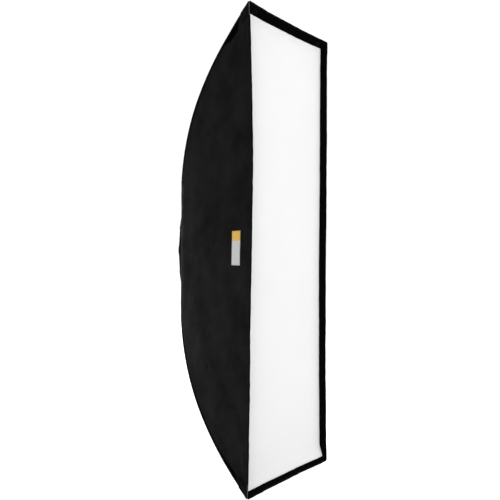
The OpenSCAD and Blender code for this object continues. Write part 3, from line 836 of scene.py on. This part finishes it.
def ring_stitches(depth, inset):
    """Row of stitches round the opening."""
    row = stretch(ring_row(depth, inset))
    outside = stretch(ring_row(depth, inset - 2 * MM, HEM_CORNER_R - 2 * MM))
    threads["softbox"].row(closed(row), closed(unit(outside - row)))


hem = ring_band("front_hem_tape", band_section(0, HEM_DEPTH - GAP, -HEM, CLOTH + 1 * MM), "hem_tape")
place(hem, "softbox", "hem_webbing", "front_hem")
lip_section = band_section(HEM_DEPTH + 0.2 * MM, LIP_DEPTH + 0.5 * MM, LINING_OUT, LINING_OUT + TAPE)
place(ring_band("lip_loop_band", lip_section, "loop_tape"), "softbox", "loop_tape", "lip_loop_tape")
for stitch_depth, inset in ((3.4 * MM, -HEM - 0.1 * MM), (9 * MM, -0.1 * MM), (22 * MM, -0.1 * MM)):
    ring_stitches(stitch_depth, inset)

# ---------- corner seams ----------


def seam_strip(name, side, level, depths, profile, look):
    """Strip along a corner seam. profile holds (inset into the side, inset into the end) pairs."""
    rows = [on_seam(side, level, depths, into_x, into_z) for into_x, into_z in profile]
    return swept(name, np.stack(rows), LOOKS[look])


def angle_profile(leg, lift, thick, bulge):
    """L-shaped strip over a corner, with a rounded ridge."""
    out, low = -lift - thick, -lift
    mid = (out + low) / 2
    tip = leg + thick * 0.3
    ridge_r = 1.4 * MM
    ridge = []
    for turn in np.linspace(0, math.pi / 2, 7):
        ridge.append((out + ridge_r - (ridge_r + bulge) * math.cos(turn),
                      out + ridge_r - (ridge_r + bulge) * math.sin(turn)))
    return [(mid, tip), (out, leg), *ridge, (leg, out), (tip, mid), (leg, low), (low, low), (low, leg)]


def seam_stitches(side, level, depths, over, into):
    """A row of stitches on the side and one on the end, over the cloth and at a distance from the seam."""
    for along_side in (1, 0):
        out_x, out_z = along_side * MM, (1 - along_side) * MM
        into_x, into_z = (over, into) if along_side else (into, over)
        path = on_seam(side, level, depths, into_x, into_z)
        lifted = on_seam(side, level, depths, into_x - out_x, into_z - out_z)
        threads["softbox"].row(path, unit(lifted - path))


def end_stitches(side, level, depth):
    """Stitches across the rear edge of a corner patch."""
    over = -2.4 * MM
    across = np.linspace(3 * MM, 23 * MM, 12)
    for into_x, into_z, normal in ((over, across, (side, 0, 0)), (across, over, (0, 0, level))):
        x, z = half_x(depth) - into_x, half_z(depth) - into_z
        threads["softbox"].row(stretch(points_at(side * x, depth, level * z)), normal)


binding_depths = depth_rows(HEM_DEPTH + 0.2 * MM, HINGE_DEPTH - 2 * MM, 5 * MM)
patch_depths = depth_rows(HEM_DEPTH + 0.2 * MM, 42 * MM, 4 * MM)
binding_profile = angle_profile(7 * MM, GAP, 1.2 * MM, 0.3 * MM)
patch_profile = angle_profile(26 * MM, 1.5 * MM, 0.8 * MM, 0.2 * MM)
for corner, side, level in CORNERS:
    binding = seam_strip(f"seam_tape_{corner}", side, level, binding_depths, binding_profile, "seam_tape")
    place(binding, "softbox", "hem_webbing", f"seam_binding_{corner}")
    seam_stitches(side, level, binding_depths[6:], -1.4 * MM, 5 * MM)
    patch = seam_strip(f"corner_patch_cloth_{corner}", side, level, patch_depths, patch_profile,
                       "patch_cloth")
    place(patch, "softbox", "patch_cloth", f"corner_patch_{corner}")
    for from_seam in (23 * MM, 6 * MM):
        seam_stitches(side, level, patch_depths, -2.4 * MM, from_seam)
    end_stitches(side, level, patch_depths[-1] - 2.5 * MM)

# ---------- near-black patches of painted shade over the ends of the rods, light-grey bar tacks of painted highlight and tab stitches ---


def rod_shade_patch(corner, side, level):
    """Near-black ragged-edged patch beside the seam, largest near the upper rods' ends: painted shade along
    the seam over the rod end.
    """
    d = depth_rows(56 * MM, 140 * MM, 3 * MM)[None, :]
    steepness = np.hypot(1, np.interp(d, fine_depth, fine_slope))
    ragged = 1 + 0.35 * rough(d, d * 0 + level, 0.012, 6.6)
    widest = (20 if level > 0 else 7) * MM
    leg = 8.5 * MM + widest * ragged * smooth(0.056, 0.061, d) * (1 - smooth(0.075, 0.14, d))
    share = np.linspace(0, 1, 7)[:, None]
    z = level * (half_z(d) - steepness * (7.6 * MM * (1 - share) + leg * share))
    faces = [on_side(side, d, inset, z) for inset in (-0.9 * MM, -0.12 * MM)]
    place(sheet(f"rod_shade_patch_{corner}", *faces, LOOKS["rod_shade_patch"]), "softbox", "patch_cloth")
    edge_z = level * (half_z(d) - steepness * (leg - 1.5 * MM))
    threads["softbox"].row(on_side(side, d, -1 * MM, edge_z)[0], (side, 0, 0))


def hem_highlight_tacks(side, level):
    """Close light-grey stitches that hold the hem together at a corner; their light grey is a painted
    highlight of the hem's rounded edge catching the light.
    """
    z = level * (half_z(1.5 * MM) - np.linspace(3 * MM, 38 * MM, 30))
    for depth in (1.2 * MM, 2.2 * MM):
        tacks.row(on_side(side, depth, -HEM - 0.1 * MM, z), (side, 0, 0), 1.9 * MM, 2.2 * MM, 0.42 * MM)


def tab_stitches(side, z):
    """Box of stitches on the outside where a tab of the inner baffle is sewn in."""
    half_d, half_h = 5 * MM, 4 * MM
    corners = [(-1, -1), (1, -1), (1, 1), (-1, 1), (-1, -1)]
    for start, stop in [*zip(corners, corners[1:]), ((-1, 0), (1, 0))]:
        d = BAFFLE_DEPTH + np.linspace(start[0], stop[0], 6) * half_d
        up = z + np.linspace(start[1], stop[1], 6) * half_h
        threads["softbox"].row(on_side(side, d, -0.1 * MM, up), (side, 0, 0), 2.2 * MM, 2 * MM, 0.4 * MM)


# Light-grey tacks along the hems at the corners: a painted highlight.
tacks = Thread()
for corner, side, level in CORNERS:
    rod_shade_patch(corner, side, level)
    hem_highlight_tacks(side, level)
for word, side in SIDES:
    for shift in STRAP_SHIFTS:
        tab_stitches(side, shift)
tacks.finish("corner_highlight_tacks", "softbox", "painted_highlight_thread")

# ---------- front diffuser ----------

DIFFUSER_DROP = 10 * MM


def slack(x, z, half_u, half_v, seed):
    """Forward swell and soft creases of a cloth sheet held round its edge."""
    gap_u, gap_v = half_u - np.abs(x), half_v - np.abs(z)
    height = 2.0 * MM * (1 - (x / half_u) ** 2) * (1 - (z / half_v) ** 2)
    height = height + 1.1 * MM * rough(x, z * 0.55, 0.12, seed) * smooth(0, 0.06, np.minimum(gap_u, gap_v))
    tuck = rough(z, x * 0.05, 0.03, seed + 2) * np.exp(-gap_u / 0.03)
    height = height + 0.7 * MM * tuck * smooth(0, 0.006, np.minimum(gap_u, gap_v))
    from_corner = np.hypot(gap_u, gap_v)
    fan = rough(np.arctan2(gap_u + 0.001, gap_v + 0.001), np.sign(x) + 2 * np.sign(z), 0.13, seed + 4)
    return height + 1.2 * MM * fan * np.exp(-from_corner / 0.16) * smooth(0.0, 0.05, from_corner)


def diffuser_depth(depth, share_z):
    """The diffuser is pressed in by hand: its bottom edge sits further forward in the lip."""
    return depth - DIFFUSER_DROP * smooth(0.95, 1.0, -share_z)


def held_sheet(name, depth, inset, rows, cols, seed, thick):
    """Cloth sheet across the bank, slack between its held edges. depth is a function of the height share."""
    share_x, share_z = np.meshgrid(even(cols), even(rows))
    d = depth(share_z)
    half_u, half_v = half_x(d, inset), half_z(d, inset)
    x, z = share_x * half_u, share_z * half_v
    face = stretch(points_at(x, d, z), relief=False)
    face[..., 1] -= slack(x, z, half_u, half_v, seed)
    return sheet(name, face, face + [0, thick, 0], LOOKS["diffusion"])


border_section = band_section(HEM_DEPTH + 0.5 * MM, LIP_DEPTH + 0.8 * MM, BORDER_OUT, BORDER_IN)
border = ring_band("diffuser_border_tape", border_section, "hook_tape")
place(border, "front_diffuser", "hook_tape", "diffuser_border")
white_sheet = held_sheet("diffuser_cloth", lambda share: diffuser_depth(LIP_DEPTH, share),
                         BORDER_IN + 0.05 * MM, 301, 81, 11.5, 0.64 * MM)
place(white_sheet, "front_diffuser", "diffusion_cloth", "diffuser_sheet")

# The border's face, as depths in millimetres and distances in from the border
face_section = ((24.7, -0.3), (23.6, -0.3), (23.5, 1.6), (23.8, 2.0), (24.5, 2.0), (24.75, 1.6))
face_rows = [ring_row(diffuser_depth(depth * MM, WALK[1]), BORDER_IN + inset * MM)
             for depth, inset in face_section]
border_face = swept("diffuser_border_face", stretch(np.stack(face_rows)), LOOKS["hook_tape"], wrap=True)
place(border_face, "front_diffuser", "hook_tape", "diffuser_border")

# A pull tab's section, as depths and insets in millimetres
pull_section = ((8.7, 2.8), (8.3, 3.3), (8.7, 3.8), (16, 4.4), (24.4, 3.9), (24.7, 3.2), (24.4, 2.8))
for word, side in SIDES:
    x = side * (HALF_W - 34 * MM) + even(9) * 10 * MM
    rows = [stretch(points_at(x, depth * MM, half_z(depth * MM, inset * MM)))
            for depth, inset in pull_section]
    tab = swept(f"diffuser_pull_{word}", np.stack(rows), LOOKS["pull_tape"])
    place(tab, "front_diffuser", "hem_webbing", "diffuser_pull_tabs")

# ---------- inner baffle ----------

BAFFLE_HEM = 12 * MM


def strap_bars(name, depths, insets, width, look, body, slot, node):
    """Eight short straps round the baffle: three on each long side and one at each end."""
    t = np.linspace(0, 1, 15)[:, None]
    w = even(9)[None, :] * width / 2
    curl = 0.15 * MM * np.sin(w / width * 9)

    def bar(number, half, points):
        faces = []
        for depth in depths:
            out = half(depth, insets[0]) * (1 - t) + half(depth, insets[1]) * t
            faces.append(stretch(points(out, depth + curl), relief=False))
        place(sheet(f"{name}_{number}", *faces, LOOKS[look]), body, slot, node)

    sides = [(side, shift) for side in (-1, 1) for shift in STRAP_SHIFTS]
    for number, (side, shift) in enumerate(sides, 1):
        bar(number, half_x, lambda out, depth: points_at(side * out, depth, shift + w))
    for number, level in enumerate((1, -1), 1 + len(sides)):
        bar(number, half_z, lambda out, depth: points_at(w, depth, level * out))


baffle_section = band_section(BAFFLE_DEPTH - 0.5 * MM, BAFFLE_DEPTH + 1.1 * MM, BAFFLE_MARGIN,
                              BAFFLE_MARGIN + BAFFLE_HEM)
baffle_hem = ring_band("baffle_hem_tape", baffle_section, "white_tape", 8 * MM + BAFFLE_MARGIN, relief=False)
place(baffle_hem, "inner_baffle", "white_webbing", "baffle_hem")
baffle_sheet = held_sheet("baffle_cloth", lambda share: BAFFLE_DEPTH + 0 * share,
                          BAFFLE_MARGIN + BAFFLE_HEM + GAP, 161, 41, 31.5, 0.6 * MM)
place(baffle_sheet, "inner_baffle", "diffusion_cloth", "baffle_sheet")
strap_bars("baffle_strap", (BAFFLE_DEPTH - 0.3 * MM, BAFFLE_DEPTH + 0.9 * MM),
           (3.4 * MM, BAFFLE_MARGIN + 1 * MM), 20 * MM,
           "white_tape", "inner_baffle", "white_webbing", "baffle_straps")
strap_bars("baffle_tab", (BAFFLE_DEPTH + 1.1 * MM, BAFFLE_DEPTH + 2.3 * MM), (1.5 * MM, 14.4 * MM), 22 * MM,
           "loop_tape", "softbox", "loop_tape", "baffle_tabs")

# ---------- rear closures ----------

FLAP_LOW_Z = FLAP_END_Z - 4 * MM
CLOSURE_Z = 141 * MM
outline_depth = np.linspace(0.3, POINT_DEPTH - 0.01 * MM, 900)
outline_z = half_z(outline_depth)
flap_slope = (FLAP_END_DEPTH - HINGE_DEPTH) / (HINGE_Z - FLAP_END_Z)
flap_lean = math.hypot(1, flap_slope)

# Layers of tape on the closure and the flap. In millimetres: the insets, a side strip's span from the edge,
# how far its ends stay from the closure's ends, and the bar by the ring as (from the edge, up to)
CLOSURE_LAYERS = (
    ("closure_margin", False, "black_cloth", None, (0.45, 0.8), (0.4, 24), (0, 0), (24, None)),
    ("closure_loop", False, "loop_tape", "closure_loop_tape",
     (0.05, 0.44), (1.5, 21.5), (4, 3.5), (21.6, 24)),
    ("flap_hooks", True, "hook_tape", "flap_hook_tape", (-0.8, -0.1), (1.5, 21.5), (5, 4.5), (21.6, 25)),
)


def flap_points(level, x, z, inset):
    """Points over (negative inset) or under the rear closure. z counts up from the axis."""
    depth = np.interp(-z, -outline_z, outline_depth)
    return points_at(x, depth - inset / flap_lean, level * (z - inset * flap_slope / flap_lean))


def closure_half(z, edge):
    return half_x(np.interp(-z, -outline_z, outline_depth), edge)


def flap_sheet(name, level, x, z, insets, look):
    return sheet(name, *(flap_points(level, x, z, inset) for inset in insets), LOOKS[look])


def flap_stitches(body, level, z, x, inset, pitch=4 * MM):
    z, x = np.broadcast_arrays(z, x)
    normal = (0, 1 / flap_lean, level * flap_slope / flap_lean)
    threads[body].row(flap_points(level, x, z, inset), normal, pitch)


def closure_tapes(word, level):
    """Side strips and the bar by the ring, for each layer of the closure at one end."""
    for kind, on_flap, slot, node, insets, span, short, (bar_edge, bar_to) in CLOSURE_LAYERS:
        body = f"{word}_flap" if on_flap else "softbox"
        look = "flap_cloth" if slot == "black_cloth" else slot
        replaced = [f"{node}_{word}" if on_flap else node] if node else []
        insets = [inset * MM for inset in insets]
        low_z = FLAP_END_Z + short[0] * MM
        z = np.linspace(HINGE_Z - short[1] * MM, low_z, 60)[:, None]
        from_edge = (span[0] + (span[1] - span[0]) * np.linspace(0, 1, 9)[None, :]) * MM
        for side_word, side in SIDES:
            x = side * (closure_half(z, 0) - from_edge)
            strip = flap_sheet(f"{kind}_{word}_{side_word}", level, x, z, insets, look)
            place(strip, body, slot, *replaced)
        z = np.linspace(FLAP_END_Z + bar_to * MM if bar_to else CLOSURE_Z, low_z, 12)[:, None]
        x = even(61)[None, :] * (closure_half(z, 0) - bar_edge * MM)
        place(flap_sheet(f"{kind}_{word}_end", level, x, z, insets, look), body, slot, *replaced)


def flap_cloth(word, level):
    """The flap, loose between its tapes."""
    z = np.linspace(HINGE_Z + 5 * MM, FLAP_LOW_Z, 90)[:, None]
    x = even(61)[None, :] * closure_half(z, 0.5 * MM)
    loose = smooth(0, 0.02, HINGE_Z - z) * smooth(0, 0.03, z - FLAP_LOW_Z + 0.01)
    ripple = rough(x, z, 0.05, 4.2 + level) + 0.6 * rough(x, z, 0.022, 7.2 + level)
    hem_wave = 0.25 * MM * np.sin(x * 2 * math.pi / 0.02) * smooth(0.012, 0.0, z - FLAP_LOW_Z)
    lift = 0.9 * MM * np.abs(ripple) * loose + hem_wave
    insets = (-1.75 * MM - lift, -0.95 * MM - lift)
    flap = flap_sheet(f"flap_cloth_{word}", level, x, z, insets, "flap_cloth")
    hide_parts(f"rear_flap_{word}")
    fold = [tuple(flap_points(level, 0.0, np.array(HINGE_Z + offset), 0)) for offset in (4.5 * MM, -5 * MM)]
    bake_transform(flap)


def flap_rows(word, level):
    """Rows of stitches along the flap's hinge, hem and hook tapes."""
    body = f"{word}_flap"
    rows = np.linspace(FLAP_END_Z + 6 * MM, HINGE_Z - 6 * MM, 40)
    for side in (-1, 1):
        for from_edge in (3 * MM, 20 * MM):
            flap_stitches(body, level, rows, side * (closure_half(rows, 0) - from_edge), -1.8 * MM)
    for holder, z, half, inset in (("softbox", HINGE_Z + 3 * MM, 0.086, -1.85 * MM),
                                   (body, FLAP_LOW_Z + 5 * MM, 0.076, -1.85 * MM),
                                   (body, FLAP_LOW_Z + 26 * MM, 0.058, -2 * MM)):
        flap_stitches(holder, level, z, np.linspace(-half, half, 30), inset)


def pull_tab(word, level):
    """Pull tab with a crossed box of stitches."""
    z = np.linspace(FLAP_LOW_Z + 32 * MM, FLAP_LOW_Z - 2 * MM, 24)[:, None]
    x = even(13)[None, :] * 12.5 * MM
    curl = 0.8 * MM * smooth(FLAP_LOW_Z + 8 * MM, FLAP_LOW_Z - 2 * MM, z)
    tab = flap_sheet(f"flap_pull_{word}", level, x, z, (-2.9 * MM - curl, -1.95 * MM - curl), "pull_tape")
    place(tab, f"{word}_flap", "hem_webbing", f"flap_pull_tab_{word}")
    half, low, high = 10 * MM, FLAP_LOW_Z + 12 * MM, FLAP_LOW_Z + 30 * MM
    box = [(-half, low), (half, low), (half, high), (-half, high), (-half, low), (half, high)]
    for start, stop in [*zip(box, box[1:]), (box[1], box[3])]:
        path_x, path_z = np.linspace(start, stop, 8).T
        flap_stitches(f"{word}_flap", level, path_z, path_x, -3 * MM, 3 * MM)


for word, level in ENDS:
    closure_tapes(word, level)
    flap_cloth(word, level)
    flap_rows(word, level)
    pull_tab(word, level)

# ---------- sleeve round the ring ----------

WEB_X = 78.6 * MM
WEB_Z = 84.5 * MM
WEB_SQUARENESS = 60
TUBE_R = RING_R + 2.4 * MM
turn = np.linspace(0, 2 * math.pi, 360, endpoint=False)
outward = np.stack([np.cos(turn), 0 * turn, np.sin(turn)], axis=1)
web_r = (np.abs(np.cos(turn) / WEB_X) ** WEB_SQUARENESS
         + np.abs(np.sin(turn) / WEB_Z) ** WEB_SQUARENESS) ** (-1 / WEB_SQUARENESS)
gather = np.sin(64 * turn + 1.4 * np.sin(5 * turn)) * (0.6 + 0.4 * np.sin(9 * turn + 1))

# The sleeve's path from the square web to the tube's end and back inside: share of the web, distance in from
# the tube, depth, and the gathers' height outward and in depth, in millimetres
SLEEVE_PATH = (
    (1, 0, 505.0, 0, 0), (0.7, 0, 505.2, 0, 0.1), (0.35, 0, 505.5, 0, 0.25), (0.1, 0, 506.0, 0, 0.3),
    (0, 0, 507.0, 0.2, 0.2), (0, 0, 508.5, 0.25, 0), (0, 0, 511.6, 0.25, 0), (0, 0.1, 512.4, 0.2, 0.1),
    (0, 0.5, 512.8, 0.1, 0.1), (0, 0.9, 512.4, 0.05, 0.1), (0, 1.0, 511.5, 0, 0), (0, 1.0, 507.5, 0, 0),
    (0.02, 0.9, 505.2, 0, 0.1), (0.35, 0.8, 504.4, 0, 0.15), (0.7, 0.5, 504.2, 0, 0.1), (1, 0, 504.1, 0, 0),
)


def circle(radius, depth):
    return points_at(radius * np.cos(turn), depth, radius * np.sin(turn))


def sleeve_row(web_share, tube_in, depth, gather_r, gather_d):
    """Ring of points between the square web (share 1) and the round tube (share 0)."""
    radius = web_r * web_share + (TUBE_R - tube_in * MM) * (1 - web_share) + gather * gather_r * MM
    return circle(radius, depth * MM + gather * gather_d * MM)


sleeve_rows = np.stack([sleeve_row(*step) for step in SLEEVE_PATH])
sleeve = swept("ring_sleeve", sleeve_rows, LOOKS["collar_cloth"], wrap=True)
place(sleeve, "softbox", "black_cloth", "rear_collar")
elastic_rows = [circle(RING_R + 0.7 * MM + v + 0.12 * MM * np.sin(90 * turn), FLAP_END_DEPTH + 3 * MM + u)
                for u, v in round_loop(3 * MM, 0.45 * MM, 0.3 * MM, 2)]
elastic = swept("sleeve_elastic", np.stack(elastic_rows), LOOKS["elastic"], wrap=True)
place(elastic, "softbox", "elastic_band", "collar_elastic")
for depth in (507.2 * MM, 511.4 * MM):
    threads["softbox"].row(closed(circle(TUBE_R + 0.2 * MM, depth)), closed(outward))

# ---------- pockets that hold the rod ends ----------

CUP_R = ROD_R + 2.7 * MM
CUP_IN = ROD_R + 1.6 * MM
tip_angle = math.asin(math.sin(CORNER_ANGLE) - (STRAIGHT_DEPTH - ROD_END_DEPTH) / gentle_r)
cup_angle = tip_angle + math.radians(0.4)


def cup_path():
    """Profile of the pocket as (distance along the rod, radius, share of the cloth's folds)."""
    outside = [(-4.2, 0.0, 0), (-4.1, 0.5, 0), (-3.6, 0.84, 0.3), (-2.4, 1.0, 0.8)]
    outside += [(-2.4 + 26 * k / 9, 1.0, 1.0) for k in range(1, 10)]
    outside += [(24.6, 1.07, 0.6), (25.8, 1.02, 0.4)]
    inside = [(25.6, 1.0, 0.3), (20, 1.0, 0.5), (10, 1.0, 0.4), (0, 1.0, 0.2), (-2.8, 0.7, 0), (-3.0, 0, 0)]
    return [(a * MM, share * radius, fold) for path, radius in ((outside, CUP_R), (inside, CUP_IN))
            for a, share, fold in path]


def corner_pocket(corner, side, level):
    """Sewn cup round the end of a rod."""
    tip_depth, tip_reach = rod_line(np.array(tip_angle))
    origin = points_at(side * (HUB_X + tip_reach * math.sin(splay)), tip_depth,
                       level * (HUB_Z + tip_reach * math.cos(splay)))
    rearward = np.array([0, 1, 0])
    sideward = np.array([side * math.sin(splay), 0, level * math.cos(splay)])
    along = math.cos(cup_angle) * rearward - math.sin(cup_angle) * sideward
    across = math.cos(cup_angle) * sideward + math.sin(cup_angle) * rearward
    angle = np.linspace(0, 2 * math.pi, 40, endpoint=False)
    around = np.cos(angle)[:, None] * across + np.sin(angle)[:, None] * np.cross(along, across)
    folds = 0.22 * MM * np.sin(7 * angle + side + 2 * level) + 0.12 * MM * np.sin(13 * angle)
    rows = [origin + distance * along + (radius + folds * fold)[:, None] * around
            for distance, radius, fold in cup_path()]
    pocket = swept(f"rod_pocket_{corner}", np.stack(rows), LOOKS["patch_cloth"], wrap=True)
    place(pocket, "softbox", "patch_cloth", f"corner_pocket_{corner}")


def pocket_band(corner, side, level):
    """Tape that ties a pocket to the shell across its corner."""
    d = np.linspace(36, 52, 7)[:, None] * MM
    t = np.linspace(0, 1, 25)[None, :]
    anchor = 27 * MM
    inset = LINING_IN + 0.3 * MM
    diagonal = 0.7
    bow = 2.6 * MM * diagonal * (4 * t * (1 - t))
    face = stretch(points_at(side * (half_x(d, inset) - t**1.2 * anchor + bow), d,
                             level * (half_z(d, inset) - (1 - t)**1.2 * anchor + bow)), relief=False)
    back = face - 1.1 * MM * diagonal * np.array([side, 0, level])
    place(sheet(f"pocket_band_{corner}", face, back, LOOKS["hem_tape"]), "softbox", "hem_webbing")


for corner, side, level in CORNERS:
    corner_pocket(corner, side, level)
    pocket_band(corner, side, level)

# ---------- label ----------

LABEL_DEPTH = 80 * MM
LABEL_HALF_W = 22 * MM
LABEL_LOW = -49 * MM
LABEL_HIGH = 55 * MM
LABEL_BAND = 30 * MM


def label_grid(inset, margin=0.0):
    d = (LABEL_DEPTH + even(13) * (LABEL_HALF_W - margin))[:, None]
    return on_side(-1, d, inset, np.linspace(LABEL_LOW + margin, LABEL_HIGH - margin, 53)[None, :])


label = sheet("label_cloth", label_grid(-0.75 * MM), label_grid(-0.02 * MM),
              label_cloth("label", LABEL_HIGH - LABEL_BAND))
place(label, "softbox", "woven_label", "blank_label")
edge = label_grid(-0.8 * MM, 1.5 * MM)
for path in (edge[0], edge[-1], edge[:, 0], edge[:, -1]):
    threads["softbox"].row(path, (-1, 0, 0), 3 * MM, 2.2 * MM, 0.25 * MM)

for body, thread in threads.items():
    thread.finish(f"stitches_{body}", body, "thread")

# ---------- metal, plastic and rubber parts from the CAD ----------

# Looks by node name, or by the start of the names of nodes that are alike
CAD_LOOKS = {
    "adapter_insert": turned_metal("adapter_metal", (0.74, 0.745, 0.75), 0.24),
    "ring_body": textured_paint("ring_paint", 0.03, 0.5),
    "keeper_ring": textured_paint("keeper_paint", 0.035, 0.45),
    "keeper_screws": drawn_metal("screw_steel", (0.34, 0.34, 0.35), 0.35, (1, 6, 1)),
    "rod_socket": drawn_metal("socket_steel", (0.55, 0.55, 0.56), 0.3, (1, 5, 1)),
    "rod_collars": plastic("collar_plastic", (0.40, 0.028, 0.022), 0.42),
    "rod_tip_caps": plastic("cap_rubber", (0.022, 0.022, 0.023), 0.75),
    "rod": drawn_metal("rod_steel", (0.62, 0.62, 0.64), 0.28, grain=0.8 * MM),
    "lock_stud": drawn_metal("stud_steel", (0.55, 0.55, 0.56), 0.3, (1, 8, 8)),
    "brake_shoe": plastic("shoe_plastic", (0.78, 0.77, 0.72), 0.5),
    "lock_knob": textured_paint("knob_plastic", 0.02, 0.48, grain=0.5 * MM, depth=0.08 * MM, wear=0.15),
}
for node_name, node_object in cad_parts.items():
    fits = [key for key in CAD_LOOKS if node_name.startswith(key)]
    for part_slot in node_object.material_slots:
        if fits:
            part_slot.material = CAD_LOOKS[max(fits, key=len)]

# ---------- studio ----------

FLOOR_HALF = 14.0
FLOOR_GAP = 8 * MM
FOCAL = 32.05
SENSOR = 36.0
CAMERA_AT = (-1.028, -0.944 - BANK_DEPTH, -0.017)
CAMERA_AHEAD = (0.671, 0.741, 0.0106)
CAMERA_ROLL = math.radians(0.18)


def look_world():
    """Even light from all round, and a white backdrop for the camera."""
    world = bpy.data.worlds.new("studio")
    bpy.context.scene.world = world
    world.use_nodes = True
    tree = world.node_tree
    background = tree.nodes["Background"]
    path = tree.nodes.new("ShaderNodeLightPath")
    level = tree.nodes.new("ShaderNodeMapRange")
    level.inputs["To Min"].default_value = 0.56
    level.inputs["To Max"].default_value = 1.05
    tree.links.new(path.outputs["Is Camera Ray"], level.inputs["Value"])
    tree.links.new(level.outputs["Result"], background.inputs["Strength"])
    background.inputs["Color"].default_value = (1, 1, 1, 1)


def area_light(name, place_at, aim, size, power):
    lamp = bpy.data.lights.new(name, "AREA")
    lamp.shape = "RECTANGLE"
    lamp.size, lamp.size_y = size
    lamp.energy = power
    holder = link(name, lamp)
    holder.location = place_at
    holder.rotation_mode = "QUATERNION"
    holder.rotation_quaternion = (Vector(aim) - Vector(place_at)).to_track_quat("-Z", "Y")


def floor():
    """Pale floor that glows a little to the camera, so that it joins the backdrop."""
    look = Look("floor")
    glow = look.math("MULTIPLY", look.node("LightPath"), 0.7)
    look.set(Base_Color=look.blotches(look.noise(0.6), grey(0.90), grey(0.93)), Roughness=0.9,
             Specular_IOR_Level=0.1, Emission_Color=grey(1.0), Emission_Strength=glow)
    level = cad_low.z - FLOOR_GAP
    corners = [(sx * FLOOR_HALF, sy * FLOOR_HALF, level) for sx, sy in ((-1, -1), (1, -1), (1, 1), (-1, 1))]
    add_object("floor", corners, [[0, 1, 2, 3]], look.material)


def put_camera():
    """Camera close to the front's left edge, at about the height of the axis."""
    data = bpy.data.cameras.new("camera")
    data.lens = FOCAL
    data.sensor_width = SENSOR
    ahead = Vector(CAMERA_AHEAD).normalized()
    right = ahead.cross(Vector((0, 0, 1))).normalized()
    up = right.cross(ahead)
    cos, sin = math.cos(CAMERA_ROLL), math.sin(CAMERA_ROLL)
    right, up = right * cos + up * sin, up * cos - right * sin
    camera = link("camera", data)
    facing = Matrix((right, up, -ahead)).transposed().to_4x4()
    camera.matrix_world = Matrix.Translation(CAMERA_AT) @ facing
    bpy.context.scene.camera = camera


look_world()
floor()
area_light("key", (0.9, -3.9, 1.2), (0, -0.4, 0), (2.6, 2.6), 58)
area_light("fill", (-3.4, -1.6, 1.0), (0, -0.3, 0), (2.0, 2.4), 34)
area_light("rear", (1.7, 3.1, 1.8), (0, -0.2, 0), (2.4, 2.4), 150)
put_camera()
bpy.context.scene.view_settings.view_transform = "Standard"
